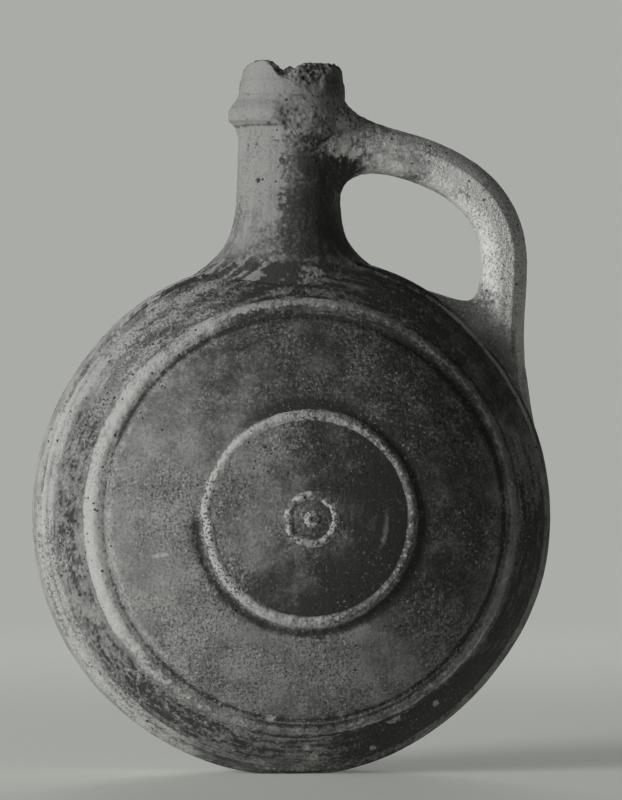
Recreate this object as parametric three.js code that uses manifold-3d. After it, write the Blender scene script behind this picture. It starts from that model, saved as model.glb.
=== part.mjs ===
// A lentoid pottery jug, built as a potter builds it: two thrown bowls are luted rim to rim, a clay
// band covers their seam, a neck is set through the seam at the top, a collar covers the joint of
// neck and mouth, and one handle is luted to neck and shoulder. The lip of the mouth is broken.
// Millimetres, +Z up. The front face looks along -Y, the handle is towards +X, and the origin is
// under the middle of the body, on the surface that the jug stands on.
import * as THREE from "three";
import { mergeVertices } from "three/addons/utils/BufferGeometryUtils.js";
import Module from "manifold-3d";

const wasm = await Module();
wasm.setup();

// Body
const BODY_RADIUS = 100; // of the disc, at the crown of the seam band
const BODY_HALF_DEPTH = 60; // from the middle plane to the centre of a face
const BODY_WALL = 6; // at the centre of a face
const RIM_WALL = 5; // of a bowl's rim, under the band
const RIM_BEVEL = 3; // slope across the two rims where they meet
const REST_FLAT = 34; // length of the worn flat that the jug stands on
const CLEARANCE = 0.3; // between luted pieces

// Band over the seam
const BAND_WIDTH = 33;
const BAND_THICKNESS = 5;
const BAND_CROWN = 25; // level part across the middle
const BAND_LIP_WIDTH = 2.2; // raised lip along each edge of the band
const BAND_LIP_HEIGHT = 1.5;
const BAND_LIP_SHAPE = [[0.3, 1], [0.7, 1.2], [1.2, 0.9]]; // shares of width in from the edge, of height
const SEAM_COIL_WIDTH = 7; // clay pressed out of the joint, inside the body
const SEAM_COIL_HEIGHT = 3;

// Rings and boss on each face; a channel is the groove that shows beside a ring
const RING_SEAT = 0.9; // depth of the bed that a ring lies in
const OUTER_RING = { radius: 81, width: 5.2, height: 1.2, innerChannel: 2.6, outerChannel: 0 };
const INNER_RING = { radius: 39, width: 4.6, height: 1.1, innerChannel: 0, outerChannel: 3 };
const BOSS_RING = { radius: 8.8, width: 3, height: 0.9, innerChannel: 0, outerChannel: 0 };
const BOSS_RADIUS = 3.4;
const BOSS_HEIGHT = 1.3;
const RING_CROWN = [0.12, 0.5, 0.88]; // shares of a ring's width where its round crown has corners
const BOSS_DOME = [1, 0.8, 0.45]; // shares of the boss's radius where its dome has corners

// Neck, collar and mouth, along the neck's own leaning axis from the top of the body
const NECK_OFFSET = -2; // of the neck's axis from the middle of the body
const NECK_LEAN = THREE.MathUtils.degToRad(1.9); // towards the handle
const NECK_RADIUS = 20.1;
const NECK_BORE_RADIUS = 14;
const NECK_HEIGHT = 55; // from the top of the body to the joint with the mouth
const NECK_SPIGOT = 11; // part of the neck that stands in the body's hole
const TONGUE_HEIGHT = 4; // of the neck's end, inside the mouth
const TONGUE_WALL = 3;
const COLLAR_HEIGHT = 8.4;
const COLLAR_PROUD = 4.2;
const COLLAR_ABOVE_JOINT = 4.3;
const COLLAR_SLOPE = 0.2; // share of its height in which the collar swells from its upper edge
const COLLAR_BELLY = 0.35; // share of its height from the lower edge up to the widest part
const MOUTH_RADIUS = 20.6;
const MOUTH_HEIGHT = 20; // from the joint to the highest point of the broken lip
const LIP_RADIUS = 19.4; // outside, at the break
const LIP_BORE_RADIUS = 14.6;
const LIP_TAPER = 9.5; // length of the mouth that narrows towards the lip
const LIP_LEAST_TAPER = 1; // what is left of it under a deep break

// Where the lip is broken away: direction round the neck from the handle side, with the front at
// -90 degrees, then half-width in degrees, and how far the outer and the inner edge drop
const LIP_BREAKS = [
  { at: -109, width: 16, outer: 5, inner: 0.8 },
  { at: -101, width: 12, outer: 0, inner: 4.4 },
  { at: -74, width: 26, outer: 12.5, inner: 0.4 },
  { at: 0, width: 32, outer: 2.8, inner: 0.8 },
  { at: 90, width: 40, outer: 0.8, inner: 0.8 },
  { at: 178, width: 24, outer: 4.2, inner: 2.2 },
];

// Handle, a loop in the middle plane of the body
const HANDLE_THICKNESS = 17.4; // across the loop
const HANDLE_WIDTH = 20; // along Y
const HANDLE_CORNER = 7;
const HANDLE_EDGE_INSET = 8; // from the edge of the body to the handle's outer side
const HANDLE_BELOW_JOINT = 11.8; // from the joint of neck and mouth to the handle's middle line
const HANDLE_TOP_PULL = 34; // how long the handle runs level before it bends
const HANDLE_SIDE_PULL = 31; // how long the bend takes to come down to the straight foot
const HANDLE_FOOT_RUN = 42; // straight foot above the body

// Clay smoothed into the corners where neck and handle land: how far it spreads out of the loop, into
// the loop and to the sides, and in what height that spread falls to about a third
const NECK_LUTING = { outer: 13.6, inner: 15.8, side: 7, decay: 5.7 };
const UPPER_LUTING = { outer: 8.4, inner: 9.5, side: 0.77 * (NECK_RADIUS - HANDLE_WIDTH / 2), decay: 7 };
const LOWER_LUTING = {
  outer: 0.6 * HANDLE_EDGE_INSET,
  inner: 24,
  side: 0.7 * (BAND_WIDTH / 2 - BAND_LIP_SHAPE.at(-1)[0] * BAND_LIP_WIDTH - HANDLE_WIDTH / 2),
  decay: 7.2,
};
const LUTING_EDGE = 1.2; // thickness of the clay where a luting ends
const LUTING_TOE = 0.25; // how far the clay reaches under the surface it lands on, as a share of decay
const LUTING_FOCUS = 4; // how sharply the spread changes from the sides to the loop's plane

// How finely round shapes are cut into flat faces
const BODY_SEGMENTS = 48;
const NECK_SEGMENTS = 36;
const BOSS_SEGMENTS = 20;
const BOWL_STEPS = 7;
const COIL_STEPS = 4;
const COLLAR_STEPS = 4;
const HANDLE_STEPS = 22;
const LUTING_STEPS = 6;
const CORNER_STEPS = 3;
const MERGE_TOLERANCE = 1e-4;

// Places that follow from the sizes
const BODY_CENTRE_Z = Math.sqrt(BODY_RADIUS ** 2 - (REST_FLAT / 2) ** 2);
const BODY_TOP_Z = BODY_CENTRE_Z + BODY_RADIUS;
const BAND_SEAT_RADIUS = BODY_RADIUS - BAND_THICKNESS - CLEARANCE;
const RIM_INNER_RADIUS = BAND_SEAT_RADIUS - RIM_WALL;
const INNER_HALF_DEPTH = BODY_HALF_DEPTH - BODY_WALL;
const COLLAR_TOP = NECK_HEIGHT + COLLAR_ABOVE_JOINT;
const TONGUE_RADIUS = NECK_BORE_RADIUS + TONGUE_WALL;
const HANDLE_HALF = HANDLE_THICKNESS / 2;
const HANDLE_REACH = BODY_RADIUS - HANDLE_EDGE_INSET - HANDLE_HALF;

const at = (radius, height) => new THREE.Vector2(radius, height);

function evenly(from, to, steps) {
  return Array.from({ length: steps + 1 }, (_, i) => from + ((to - from) * i) / steps);
}

// Solids and booleans

function triangles(geometry) {
  const bare = new THREE.BufferGeometry();
  bare.setAttribute("position", geometry.getAttribute("position").clone());
  if (geometry.index) bare.setIndex(geometry.index.clone());
  return mergeVertices(bare, MERGE_TOLERANCE);
}

function solidOf(geometry, matrix = new THREE.Matrix4()) {
  const merged = triangles(geometry.clone().applyMatrix4(matrix));
  const kept = [];
  const index = merged.index.array;
  for (let i = 0; i < index.length; i += 3) {
    const [a, b, c] = index.slice(i, i + 3);
    if (a !== b && b !== c && a !== c) kept.push(a, b, c);
  }
  const vertProperties = merged.getAttribute("position").array;
  const triVerts = new Uint32Array(kept);
  return new wasm.Manifold(new wasm.Mesh({ numProp: 3, vertProperties, triVerts }));
}

function geometryOf(solid) {
  const mesh = solid.getMesh();
  const geometry = new THREE.BufferGeometry();
  geometry.setAttribute("position", new THREE.BufferAttribute(mesh.vertProperties, mesh.numProp));
  geometry.setIndex(new THREE.BufferAttribute(mesh.triVerts, 1));
  geometry.computeVertexNormals();
  return geometry;
}

function cut(solid, ...cutters) {
  return cutters.reduce((left, cutter) => left.subtract(cutter), solid);
}

// A closed outline turned about the lathe's axis. It either starts and ends on the axis or is a loop.
function turned(outline, segments) {
  const loop = outline[0].x > 0;
  const area = outline.reduce((sum, p, i) => {
    const next = outline[(i + 1) % outline.length];
    return sum + p.x * next.y - next.x * p.y;
  }, 0);
  const ordered = area > 0 ? [...outline] : [...outline].reverse();
  if (loop) ordered.push(ordered[0].clone());
  return new THREE.LatheGeometry(ordered, segments);
}

// A skin over a row of closed loops with equal numbers of points: capped, or joined end to start.
function skinned(loops, joined = false) {
  const count = loops[0].length;
  const corners = loops.flat();
  const faces = [];
  const rows = joined ? loops.length : loops.length - 1;
  for (let row = 0; row < rows; row++) {
    const below = row * count;
    const above = ((row + 1) % loops.length) * count;
    for (let i = 0; i < count; i++) {
      const next = (i + 1) % count;
      faces.push(below + i, below + next, above + next);
      faces.push(below + i, above + next, above + i);
    }
  }
  if (!joined) {
    for (const [row, side] of [[0, 1], [loops.length - 1, -1]]) {
      const middle = corners.length;
      const sum = loops[row].reduce((total, p) => total.add(p), new THREE.Vector3());
      corners.push(sum.divideScalar(count));
      for (let i = 0; i < count; i++) {
        const ends = [row * count + i, row * count + ((i + 1) % count)];
        faces.push(middle, ends[side > 0 ? 1 : 0], ends[side > 0 ? 0 : 1]);
      }
    }
  }
  const geometry = new THREE.BufferGeometry().setFromPoints(corners);
  geometry.setIndex(signedVolume(corners, faces) > 0 ? faces : faces.reverse());
  return geometry;
}

function signedVolume(corners, faces) {
  let six = 0;
  for (let i = 0; i < faces.length; i += 3) {
    const [a, b, c] = [corners[faces[i]], corners[faces[i + 1]], corners[faces[i + 2]]];
    six += a.dot(b.clone().cross(c));
  }
  return six;
}

// Frames: the body's axis runs along Y, and the neck leans from the top of the body

const bodyFrame = new THREE.Group();
bodyFrame.position.set(0, 0, BODY_CENTRE_Z);
const backFrame = new THREE.Group();
const frontFrame = new THREE.Group();
frontFrame.rotation.z = Math.PI;
bodyFrame.add(frontFrame, backFrame);
const neckFrame = new THREE.Group();
neckFrame.position.set(NECK_OFFSET, 0, BODY_TOP_Z);
neckFrame.rotation.y = NECK_LEAN;
for (const frame of [bodyFrame, neckFrame]) frame.updateMatrixWorld(true);

// A lathe about +Y, turned to stand on the neck's axis
function onNeck(geometry) {
  return geometry.rotateX(Math.PI / 2);
}

// Faces of the body: an ellipse turned about the body's axis

const faceDepth = (radius) => BODY_HALF_DEPTH * Math.sqrt(1 - (radius / BODY_RADIUS) ** 2);
const bodyRadiusAt = (depth) => BODY_RADIUS * Math.sqrt(1 - (depth / BODY_HALF_DEPTH) ** 2);
const shoulderZ = (x) => BODY_CENTRE_Z + Math.sqrt(BODY_RADIUS ** 2 - x ** 2);

// A point of the face's outline, moved out of the surface along its normal
function onFace(radius, out = 0) {
  const depth = faceDepth(radius);
  const normal = at(radius / BODY_RADIUS ** 2, depth / BODY_HALF_DEPTH ** 2).normalize();
  return at(radius, depth).addScaledVector(normal, out);
}

const bedInner = (ring) => ring.radius - ring.width / 2 - CLEARANCE - ring.innerChannel;
const bedOuter = (ring) => ring.radius + ring.width / 2 + CLEARANCE + ring.outerChannel;

// The face's outline from its centre to the band, moved out of its surface. The bed of a ring is a
// groove in the face, wider than the ring where a channel shows beside it.
function faceOutline(bed, out) {
  const bossSeat = BOSS_RADIUS + CLEARANCE;
  const stretch = (from, to, count) => {
    return evenly(from, to, count + 1).slice(1, -1).map((radius) => onFace(radius, out));
  };
  const ringBed = (ring) => {
    const [inner, outer] = [bedInner(ring), bedOuter(ring)];
    return [onFace(inner, out), onFace(inner, out - bed), onFace(outer, out - bed), onFace(outer, out)];
  };
  return [
    onFace(0, out - bed),
    onFace(bossSeat, out - bed),
    onFace(bossSeat, out),
    ...ringBed(BOSS_RING),
    ...stretch(bedOuter(BOSS_RING), bedInner(INNER_RING), 1),
    ...ringBed(INNER_RING),
    ...stretch(bedOuter(INNER_RING), bedInner(OUTER_RING), 2),
    ...ringBed(OUTER_RING),
    ...stretch(bedOuter(OUTER_RING), bodyRadiusAt(BAND_WIDTH / 2 + CLEARANCE), 1),
  ];
}

// Hole that the neck stands in, through band, bowls and seam coil
function neckHole() {
  const radius = NECK_RADIUS + CLEARANCE;
  const height = 4 * NECK_SPIGOT;
  const hole = onNeck(new THREE.CylinderGeometry(radius, radius, height, NECK_SEGMENTS));
  return solidOf(hole, neckFrame.matrixWorld);
}

// Half of the body. The two rims are bevelled opposite ways, so that one seats in the other.
function bowl(frame, bevel) {
  const bandEdge = BAND_WIDTH / 2 + CLEARANCE;
  const land = SEAM_COIL_WIDTH / 2 + CLEARANCE;
  const hollow = INNER_HALF_DEPTH - land;
  const innerArc = new THREE.EllipseCurve(0, land, RIM_INNER_RADIUS, hollow, 0, Math.PI / 2);
  const rimTilt = (side) => CLEARANCE / 2 + (side * bevel) / 2;
  const inside = innerArc.getPoints(BOWL_STEPS);
  inside[inside.length - 1].x = 0;
  const outline = [
    ...faceOutline(RING_SEAT, 0),
    at(bodyRadiusAt(bandEdge), bandEdge),
    at(BAND_SEAT_RADIUS, bandEdge),
    at(BAND_SEAT_RADIUS, rimTilt(-1)),
    at(RIM_INNER_RADIUS, rimTilt(1)),
    ...inside,
  ];
  return geometryOf(cut(solidOf(turned(outline, BODY_SEGMENTS), frame.matrixWorld), neckHole()));
}

// Outer outline of the band, from one edge to the other, with a lip along each edge
function bandOutside(grow = 0) {
  const half = BAND_WIDTH / 2;
  const edgeRadius = bodyRadiusAt(half) + grow;
  const lip = BAND_LIP_SHAPE.map(([inward, rise]) => {
    return at(edgeRadius + BAND_LIP_HEIGHT * rise, half - BAND_LIP_WIDTH * inward);
  });
  const side = [at(edgeRadius, half + grow), ...lip, at(BODY_RADIUS + grow, BAND_CROWN / 2)];
  return [...side, ...side.map((p) => at(p.x, -p.y)).reverse()];
}

function seamBand() {
  const seat = BAND_SEAT_RADIUS + CLEARANCE;
  const half = BAND_WIDTH / 2;
  const ring = turned([...bandOutside(), at(seat, -half), at(seat, half)], BODY_SEGMENTS);
  const depthUnder = BODY_RADIUS;
  const ground = new THREE.BoxGeometry(2 * BODY_RADIUS, BAND_WIDTH, depthUnder);
  ground.translate(0, 0, -depthUnder / 2);
  return geometryOf(cut(solidOf(ring, bodyFrame.matrixWorld), solidOf(ground), neckHole()));
}

function seamCoil() {
  const seat = RIM_INNER_RADIUS - CLEARANCE;
  const half = SEAM_COIL_WIDTH / 2;
  const bead = new THREE.EllipseCurve(seat, 0, SEAM_COIL_HEIGHT, half, Math.PI / 2, 1.5 * Math.PI);
  const outline = bead.getPoints(COIL_STEPS);
  return geometryOf(cut(solidOf(turned(outline, BODY_SEGMENTS), bodyFrame.matrixWorld), neckHole()));
}

// A ring of half-round section, lying in its bed
function faceRing(ring, segments) {
  const [inner, outer] = [ring.radius - ring.width / 2, ring.radius + ring.width / 2];
  const floor = CLEARANCE - RING_SEAT;
  const crown = RING_CROWN.map((share) => {
    const rise = Math.sin(Math.PI * share);
    return onFace(inner + ring.width * share, ring.height * rise);
  });
  return turned([onFace(inner, floor), ...crown, onFace(outer, floor)], segments);
}

function faceBoss() {
  const floor = faceDepth(0) - RING_SEAT + CLEARANCE;
  const dome = BOSS_DOME.map((share) => onFace(BOSS_RADIUS * share, BOSS_HEIGHT * (1 - share ** 2)));
  return turned([at(0, floor), at(BOSS_RADIUS, floor), ...dome, onFace(0, BOSS_HEIGHT)], BOSS_SEGMENTS);
}

// Everything inside the body's outside, with the clearance that pieces luted to it keep
function bodyEnvelope() {
  const front = faceOutline(0, CLEARANCE);
  const back = front.map((p) => at(p.x, -p.y)).reverse();
  const outline = [...front, ...bandOutside(CLEARANCE), ...back];
  return solidOf(turned(outline, BODY_SEGMENTS), bodyFrame.matrixWorld);
}

// Neck and mouth

function neckTube() {
  const outline = [
    at(NECK_RADIUS, -NECK_SPIGOT),
    at(NECK_RADIUS, NECK_HEIGHT - CLEARANCE / 2),
    at(TONGUE_RADIUS, NECK_HEIGHT - CLEARANCE / 2),
    at(TONGUE_RADIUS, NECK_HEIGHT + TONGUE_HEIGHT),
    at(NECK_BORE_RADIUS, NECK_HEIGHT + TONGUE_HEIGHT),
    at(NECK_BORE_RADIUS, -NECK_SPIGOT),
  ];
  return onNeck(turned(outline, NECK_SEGMENTS));
}

// Outside of neck and mouth, with clearance, filled
function neckEnvelope() {
  const top = NECK_HEIGHT + MOUTH_HEIGHT;
  const outline = [
    at(0, -NECK_SPIGOT),
    at(NECK_RADIUS + CLEARANCE, -NECK_SPIGOT),
    at(NECK_RADIUS + CLEARANCE, NECK_HEIGHT - CLEARANCE),
    at(MOUTH_RADIUS + CLEARANCE, NECK_HEIGHT - CLEARANCE),
    at(MOUTH_RADIUS + CLEARANCE, top),
    at(0, top),
  ];
  return solidOf(onNeck(turned(outline, NECK_SEGMENTS)), neckFrame.matrixWorld);
}

// How far the broken lip lies under its highest point, in a direction round the neck
function lipDrop(degrees, edge) {
  return LIP_BREAKS.reduce((drop, part) => {
    const away = THREE.MathUtils.euclideanModulo(degrees - part.at + 180, 360) - 180;
    return drop + part[edge] * Math.exp(-((away / part.width) ** 2));
  }, 0);
}

function mouth() {
  const foot = NECK_HEIGHT + CLEARANCE / 2;
  const top = NECK_HEIGHT + MOUTH_HEIGHT;
  const socket = TONGUE_RADIUS + CLEARANCE;
  const socketTop = NECK_HEIGHT + TONGUE_HEIGHT + CLEARANCE;
  const loops = Array.from({ length: NECK_SEGMENTS }, (_, i) => {
    const angle = (2 * Math.PI * i) / NECK_SEGMENTS;
    const degrees = THREE.MathUtils.radToDeg(angle);
    const outerEdge = top - lipDrop(degrees, "outer");
    const innerEdge = top - lipDrop(degrees, "inner");
    const taperStart = Math.min(top - LIP_TAPER, outerEdge - LIP_LEAST_TAPER);
    const outline = [
      at(MOUTH_RADIUS, foot),
      at(MOUTH_RADIUS, taperStart),
      at(LIP_RADIUS, outerEdge),
      at(LIP_BORE_RADIUS, innerEdge),
      at(NECK_BORE_RADIUS, socketTop),
      at(socket, socketTop),
      at(socket, foot),
    ];
    return outline.map((p) => new THREE.Vector3(p.x * Math.cos(angle), p.x * Math.sin(angle), p.y));
  });
  return skinned(loops, true);
}

// Ridge over the joint of neck and mouth, open where the handle is luted on
function neckCollar() {
  const seat = MOUTH_RADIUS + CLEARANCE;
  const bottom = COLLAR_TOP - COLLAR_HEIGHT;
  const belly = MOUTH_RADIUS + COLLAR_PROUD;
  const widest = at(belly, bottom + COLLAR_HEIGHT * COLLAR_BELLY);
  const swell = at(belly, COLLAR_TOP - COLLAR_HEIGHT * COLLAR_SLOPE);
  const upper = new THREE.QuadraticBezierCurve(at(seat, COLLAR_TOP), swell, widest);
  const lower = new THREE.QuadraticBezierCurve(widest, at(belly, bottom), at(seat, bottom));
  const outline = [...upper.getPoints(COLLAR_STEPS), ...lower.getPoints(COLLAR_STEPS).slice(1)];
  const ring = solidOf(onNeck(turned(outline, NECK_SEGMENTS)), neckFrame.matrixWorld);
  const width = HANDLE_WIDTH + UPPER_LUTING.side / 2;
  const opening = new THREE.BoxGeometry(2 * belly, width, 4 * COLLAR_HEIGHT);
  opening.translate(belly, 0, NECK_HEIGHT);
  return geometryOf(cut(ring, solidOf(opening, neckFrame.matrixWorld), upperLutingSolid(CLEARANCE)));
}

// Handle

function handlePath() {
  const startZ = BODY_TOP_Z + NECK_HEIGHT - HANDLE_BELOW_JOINT;
  const startX = NECK_OFFSET + NECK_BORE_RADIUS;
  const footTop = shoulderZ(HANDLE_REACH) + HANDLE_FOOT_RUN;
  const sunk = BODY_RADIUS - BAND_THICKNESS;
  const outerSide = BODY_RADIUS - HANDLE_EDGE_INSET;
  const footEnd = BODY_CENTRE_Z + Math.sqrt(sunk ** 2 - outerSide ** 2);
  const on = (x, z) => new THREE.Vector3(x, 0, z);
  const level = NECK_OFFSET + NECK_RADIUS + HANDLE_TOP_PULL;
  const path = new THREE.CurvePath();
  const bend = on(HANDLE_REACH, footTop);
  const above = on(HANDLE_REACH, footTop + HANDLE_SIDE_PULL);
  path.add(new THREE.CubicBezierCurve3(on(startX, startZ), on(level, startZ), above, bend));
  path.add(new THREE.LineCurve3(bend, on(HANDLE_REACH, footEnd)));
  return path;
}

// The handle's rounded section, out of the loop and to the side, with the way out of it at each point
function handleSection(grow = 0) {
  const [half, side] = [HANDLE_HALF - HANDLE_CORNER, HANDLE_WIDTH / 2 - HANDLE_CORNER];
  const corners = [[1, 1], [-1, 1], [-1, -1], [1, -1]];
  return corners.flatMap(([out, aside], quarter) => {
    return evenly(quarter, quarter + 1, CORNER_STEPS).map((turns) => {
      const angle = (turns * Math.PI) / 2;
      const normal = at(Math.cos(angle), Math.sin(angle));
      const point = at(out * half, aside * side).addScaledVector(normal, HANDLE_CORNER + grow);
      return { point, normal };
    });
  });
}

function wholeHandle(grow = 0) {
  const path = handlePath();
  const loops = evenly(0, 1, HANDLE_STEPS).map((share) => {
    const [place, along] = [path.getPointAt(share), path.getTangentAt(share)];
    return handleSection(grow).map(({ point }) => {
      const [x, z] = [place.x - along.z * point.x, place.z + along.x * point.x];
      return new THREE.Vector3(x, point.y, z);
    });
  });
  return solidOf(skinned(loops));
}

function handle() {
  return geometryOf(cut(wholeHandle(), neckEnvelope(), bodyEnvelope()));
}

// Lutings: clay round a stem, from the surface that the stem lands on up to a thin edge

function luting(clay, outline, landing, place) {
  const loops = outline.map(({ point, normal }) => {
    const along = normal.x > 0 ? clay.outer : clay.inner;
    const spread = THREE.MathUtils.lerp(clay.side, along, Math.abs(normal.x) ** LUTING_FOCUS);
    const top = clay.decay * Math.log(spread / LUTING_EDGE);
    const heights = evenly(-clay.decay * LUTING_TOE, top, LUTING_STEPS);
    const out = (distance) => point.clone().addScaledVector(normal, distance);
    const flare = heights.map((height) => {
      const foot = out(spread * Math.exp(-height / clay.decay));
      return { foot, level: landing(foot) + height };
    });
    const core = out(-LUTING_EDGE);
    const under = Math.min(landing(core), flare[0].level) - LUTING_EDGE;
    const outside = flare.map(({ foot, level }) => place(foot, level));
    return [place(core, flare.at(-1).level), place(core, under), ...outside];
  });
  return solidOf(skinned(loops, true));
}

// Radius of the body's outside at a depth from the middle plane, with the band's crown and lips
function outsideRadius(depth) {
  const band = bandOutside();
  const next = band.findIndex((p) => p.y <= Math.abs(depth));
  if (next === 0) return bodyRadiusAt(Math.min(Math.abs(depth), BODY_HALF_DEPTH));
  const [from, to] = [band[next - 1], band[next]];
  return THREE.MathUtils.mapLinear(Math.abs(depth), from.y, to.y, from.x, to.x);
}

function bodySurfaceZ(x, y) {
  return BODY_CENTRE_Z + Math.sqrt(Math.max(outsideRadius(y) ** 2 - x ** 2, 0));
}

function neckLuting() {
  const outline = evenly(0, 2 * Math.PI, NECK_SEGMENTS).slice(1).map((angle) => {
    const normal = at(Math.cos(angle), Math.sin(angle));
    return { point: normal.clone().multiplyScalar(NECK_RADIUS), normal };
  });
  const landing = (foot) => bodySurfaceZ(NECK_OFFSET + foot.x, foot.y);
  const place = (foot, z) => {
    const lean = (z - BODY_TOP_Z) * Math.tan(NECK_LEAN);
    return new THREE.Vector3(NECK_OFFSET + foot.x + lean, foot.y, z);
  };
  return cut(luting(NECK_LUTING, outline, landing, place), neckEnvelope(), bodyEnvelope());
}

// It lands on the side of the neck and runs out over the collar, which is open there
function upperLutingSolid(grow = 0) {
  const middle = BODY_TOP_Z + NECK_HEIGHT - HANDLE_BELOW_JOINT;
  const landing = (foot) => {
    const axis = NECK_OFFSET + (middle + foot.x - BODY_TOP_Z) * Math.tan(NECK_LEAN);
    return axis + Math.sqrt(Math.max(NECK_RADIUS ** 2 - foot.y ** 2, 0));
  };
  const place = (foot, x) => new THREE.Vector3(x, foot.y, middle + foot.x);
  return luting(UPPER_LUTING, handleSection(grow), landing, place);
}

function upperLuting() {
  return cut(upperLutingSolid(), wholeHandle(CLEARANCE), neckEnvelope());
}

function lowerLuting() {
  const landing = (foot) => bodySurfaceZ(HANDLE_REACH + foot.x, foot.y);
  const place = (foot, z) => new THREE.Vector3(HANDLE_REACH + foot.x, foot.y, z);
  const clay = luting(LOWER_LUTING, handleSection(), landing, place);
  return cut(clay, wholeHandle(CLEARANCE), bodyEnvelope());
}

// Materials: dark slip on the body, paler worn clay on neck, handle and rings

const clay = (color, roughness) => new THREE.MeshStandardMaterial({ color, roughness, metalness: 0 });
const SLIP = clay(0x5c5d59, 0.7);
const WORN_CLAY = clay(0x8f908b, 0.85);
const RAW_CLAY = clay(0x75756f, 0.95);

function addTo(parent, name, geometry, material) {
  const mesh = new THREE.Mesh(geometry, material);
  mesh.name = name;
  parent.add(mesh);
}

const jug = new THREE.Group();
jug.add(bodyFrame, neckFrame);

addTo(jug, "front_bowl", bowl(frontFrame, RIM_BEVEL), SLIP);
addTo(jug, "back_bowl", bowl(backFrame, -RIM_BEVEL), SLIP);
addTo(jug, "seam_band", seamBand(), SLIP);
addTo(jug, "inner_seam_coil", seamCoil(), RAW_CLAY);
for (const [side, frame] of [["front", frontFrame], ["back", backFrame]]) {
  addTo(frame, `${side}_outer_ring`, faceRing(OUTER_RING, BODY_SEGMENTS), WORN_CLAY);
  addTo(frame, `${side}_inner_ring`, faceRing(INNER_RING, BODY_SEGMENTS), WORN_CLAY);
  addTo(frame, `${side}_boss_ring`, faceRing(BOSS_RING, BOSS_SEGMENTS), WORN_CLAY);
  addTo(frame, `${side}_boss`, faceBoss(), WORN_CLAY);
}
addTo(neckFrame, "neck", neckTube(), WORN_CLAY);
addTo(neckFrame, "mouth", mouth(), WORN_CLAY);
addTo(jug, "neck_collar", neckCollar(), WORN_CLAY);
addTo(jug, "neck_luting", geometryOf(neckLuting()), WORN_CLAY);
addTo(jug, "handle", handle(), WORN_CLAY);
addTo(jug, "upper_handle_luting", geometryOf(upperLuting()), WORN_CLAY);
addTo(jug, "lower_handle_luting", geometryOf(lowerLuting()), WORN_CLAY);

export default jug;
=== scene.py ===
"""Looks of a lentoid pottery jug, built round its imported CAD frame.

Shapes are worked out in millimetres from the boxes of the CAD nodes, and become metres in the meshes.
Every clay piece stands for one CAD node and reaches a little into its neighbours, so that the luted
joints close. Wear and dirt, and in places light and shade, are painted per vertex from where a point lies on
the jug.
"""

import itertools
import math
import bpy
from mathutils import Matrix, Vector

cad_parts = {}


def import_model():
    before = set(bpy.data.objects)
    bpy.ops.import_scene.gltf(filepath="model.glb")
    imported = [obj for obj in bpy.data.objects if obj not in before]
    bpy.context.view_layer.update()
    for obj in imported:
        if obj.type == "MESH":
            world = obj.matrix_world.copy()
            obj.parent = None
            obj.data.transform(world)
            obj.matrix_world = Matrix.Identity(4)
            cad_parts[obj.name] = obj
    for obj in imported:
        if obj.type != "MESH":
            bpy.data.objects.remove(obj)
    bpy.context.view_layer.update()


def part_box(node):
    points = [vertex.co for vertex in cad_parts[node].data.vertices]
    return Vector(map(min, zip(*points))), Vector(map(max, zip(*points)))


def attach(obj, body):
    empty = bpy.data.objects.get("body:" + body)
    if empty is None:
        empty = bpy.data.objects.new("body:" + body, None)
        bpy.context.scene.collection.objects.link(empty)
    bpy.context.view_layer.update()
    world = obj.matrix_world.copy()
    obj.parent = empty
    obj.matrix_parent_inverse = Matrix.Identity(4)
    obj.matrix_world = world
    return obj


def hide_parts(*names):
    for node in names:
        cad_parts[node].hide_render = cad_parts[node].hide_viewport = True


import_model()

from types import SimpleNamespace as Sizes

import bmesh
import bpy
import numpy as np
from mathutils import Vector

MM = 1000.0  # millimetres in a metre

# Sizes read from the frame: lowest and highest corners of CAD nodes, in millimetres

LOW, HIGH = {}, {}
for node in (
    "seam_band", "front_bowl", "front_outer_ring", "front_inner_ring", "front_boss_ring", "front_boss",
    "inner_seam_coil", "neck", "mouth", "neck_collar", "handle",
):
    LOW[node], HIGH[node] = (np.array(corner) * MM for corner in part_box(node))

BODY_RADIUS = HIGH["seam_band"][0]
BODY_CENTRE_Z = (LOW["front_outer_ring"][2] + HIGH["front_outer_ring"][2]) / 2
BODY_TOP_Z = BODY_CENTRE_Z + BODY_RADIUS
BODY_HALF_DEPTH = -LOW["front_bowl"][1]
BAND_HALF = HIGH["seam_band"][1]
BOSS_RADIUS = HIGH["front_boss"][0]
COIL_RADIUS = HIGH["inner_seam_coil"][0]
NECK_RADIUS = HIGH["neck"][1]
MOUTH_RADIUS = HIGH["mouth"][1]
COLLAR_RADIUS = HIGH["neck_collar"][1]
HANDLE_HALF_WIDTH = HIGH["handle"][1]

# Sizes of the body that its boxes don't give
FRONT, BACK = -1, 1
BAND_SEAT = 94.6
BAND_FOOT = 0.2  # how deep it goes into the bowls
BAND_OVERLAP = 0.9  # of a bowl's face, under the lip of the band
BAND_LIP = 14.9  # from the middle plane to the crest of a lip
BAND_OUTLINE = np.array([  # distance from the middle plane and fall below the crown
    (0, 0), (9.0, 0), (11.2, 0.25), (12.6, 1.2), (13.6, 2.3), (14.2, 2.4), (14.8, 1.95), (15.3, 2.0),
    (15.9, 2.9), (16.5, 4.0),
])
RIM_INNER = 89.7
RIM_GAP = 0.1  # from a bowl's rim to the middle plane
SEAT_DROP = 0.3  # from the edge of a bowl's face to its seat in the band
WALL = 6.0
OUT_OF_ROUND = [(1.6, 66, 20), (0.8, 124, 16), (-1.4, 315, 22)]  # rise, place and width in degrees
EDGE_RADIUS = 84  # of the face, where it starts to follow the band out of round
COIL_THICK = 3.0
COIL_HALF_WIDTH = 3.5

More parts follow.
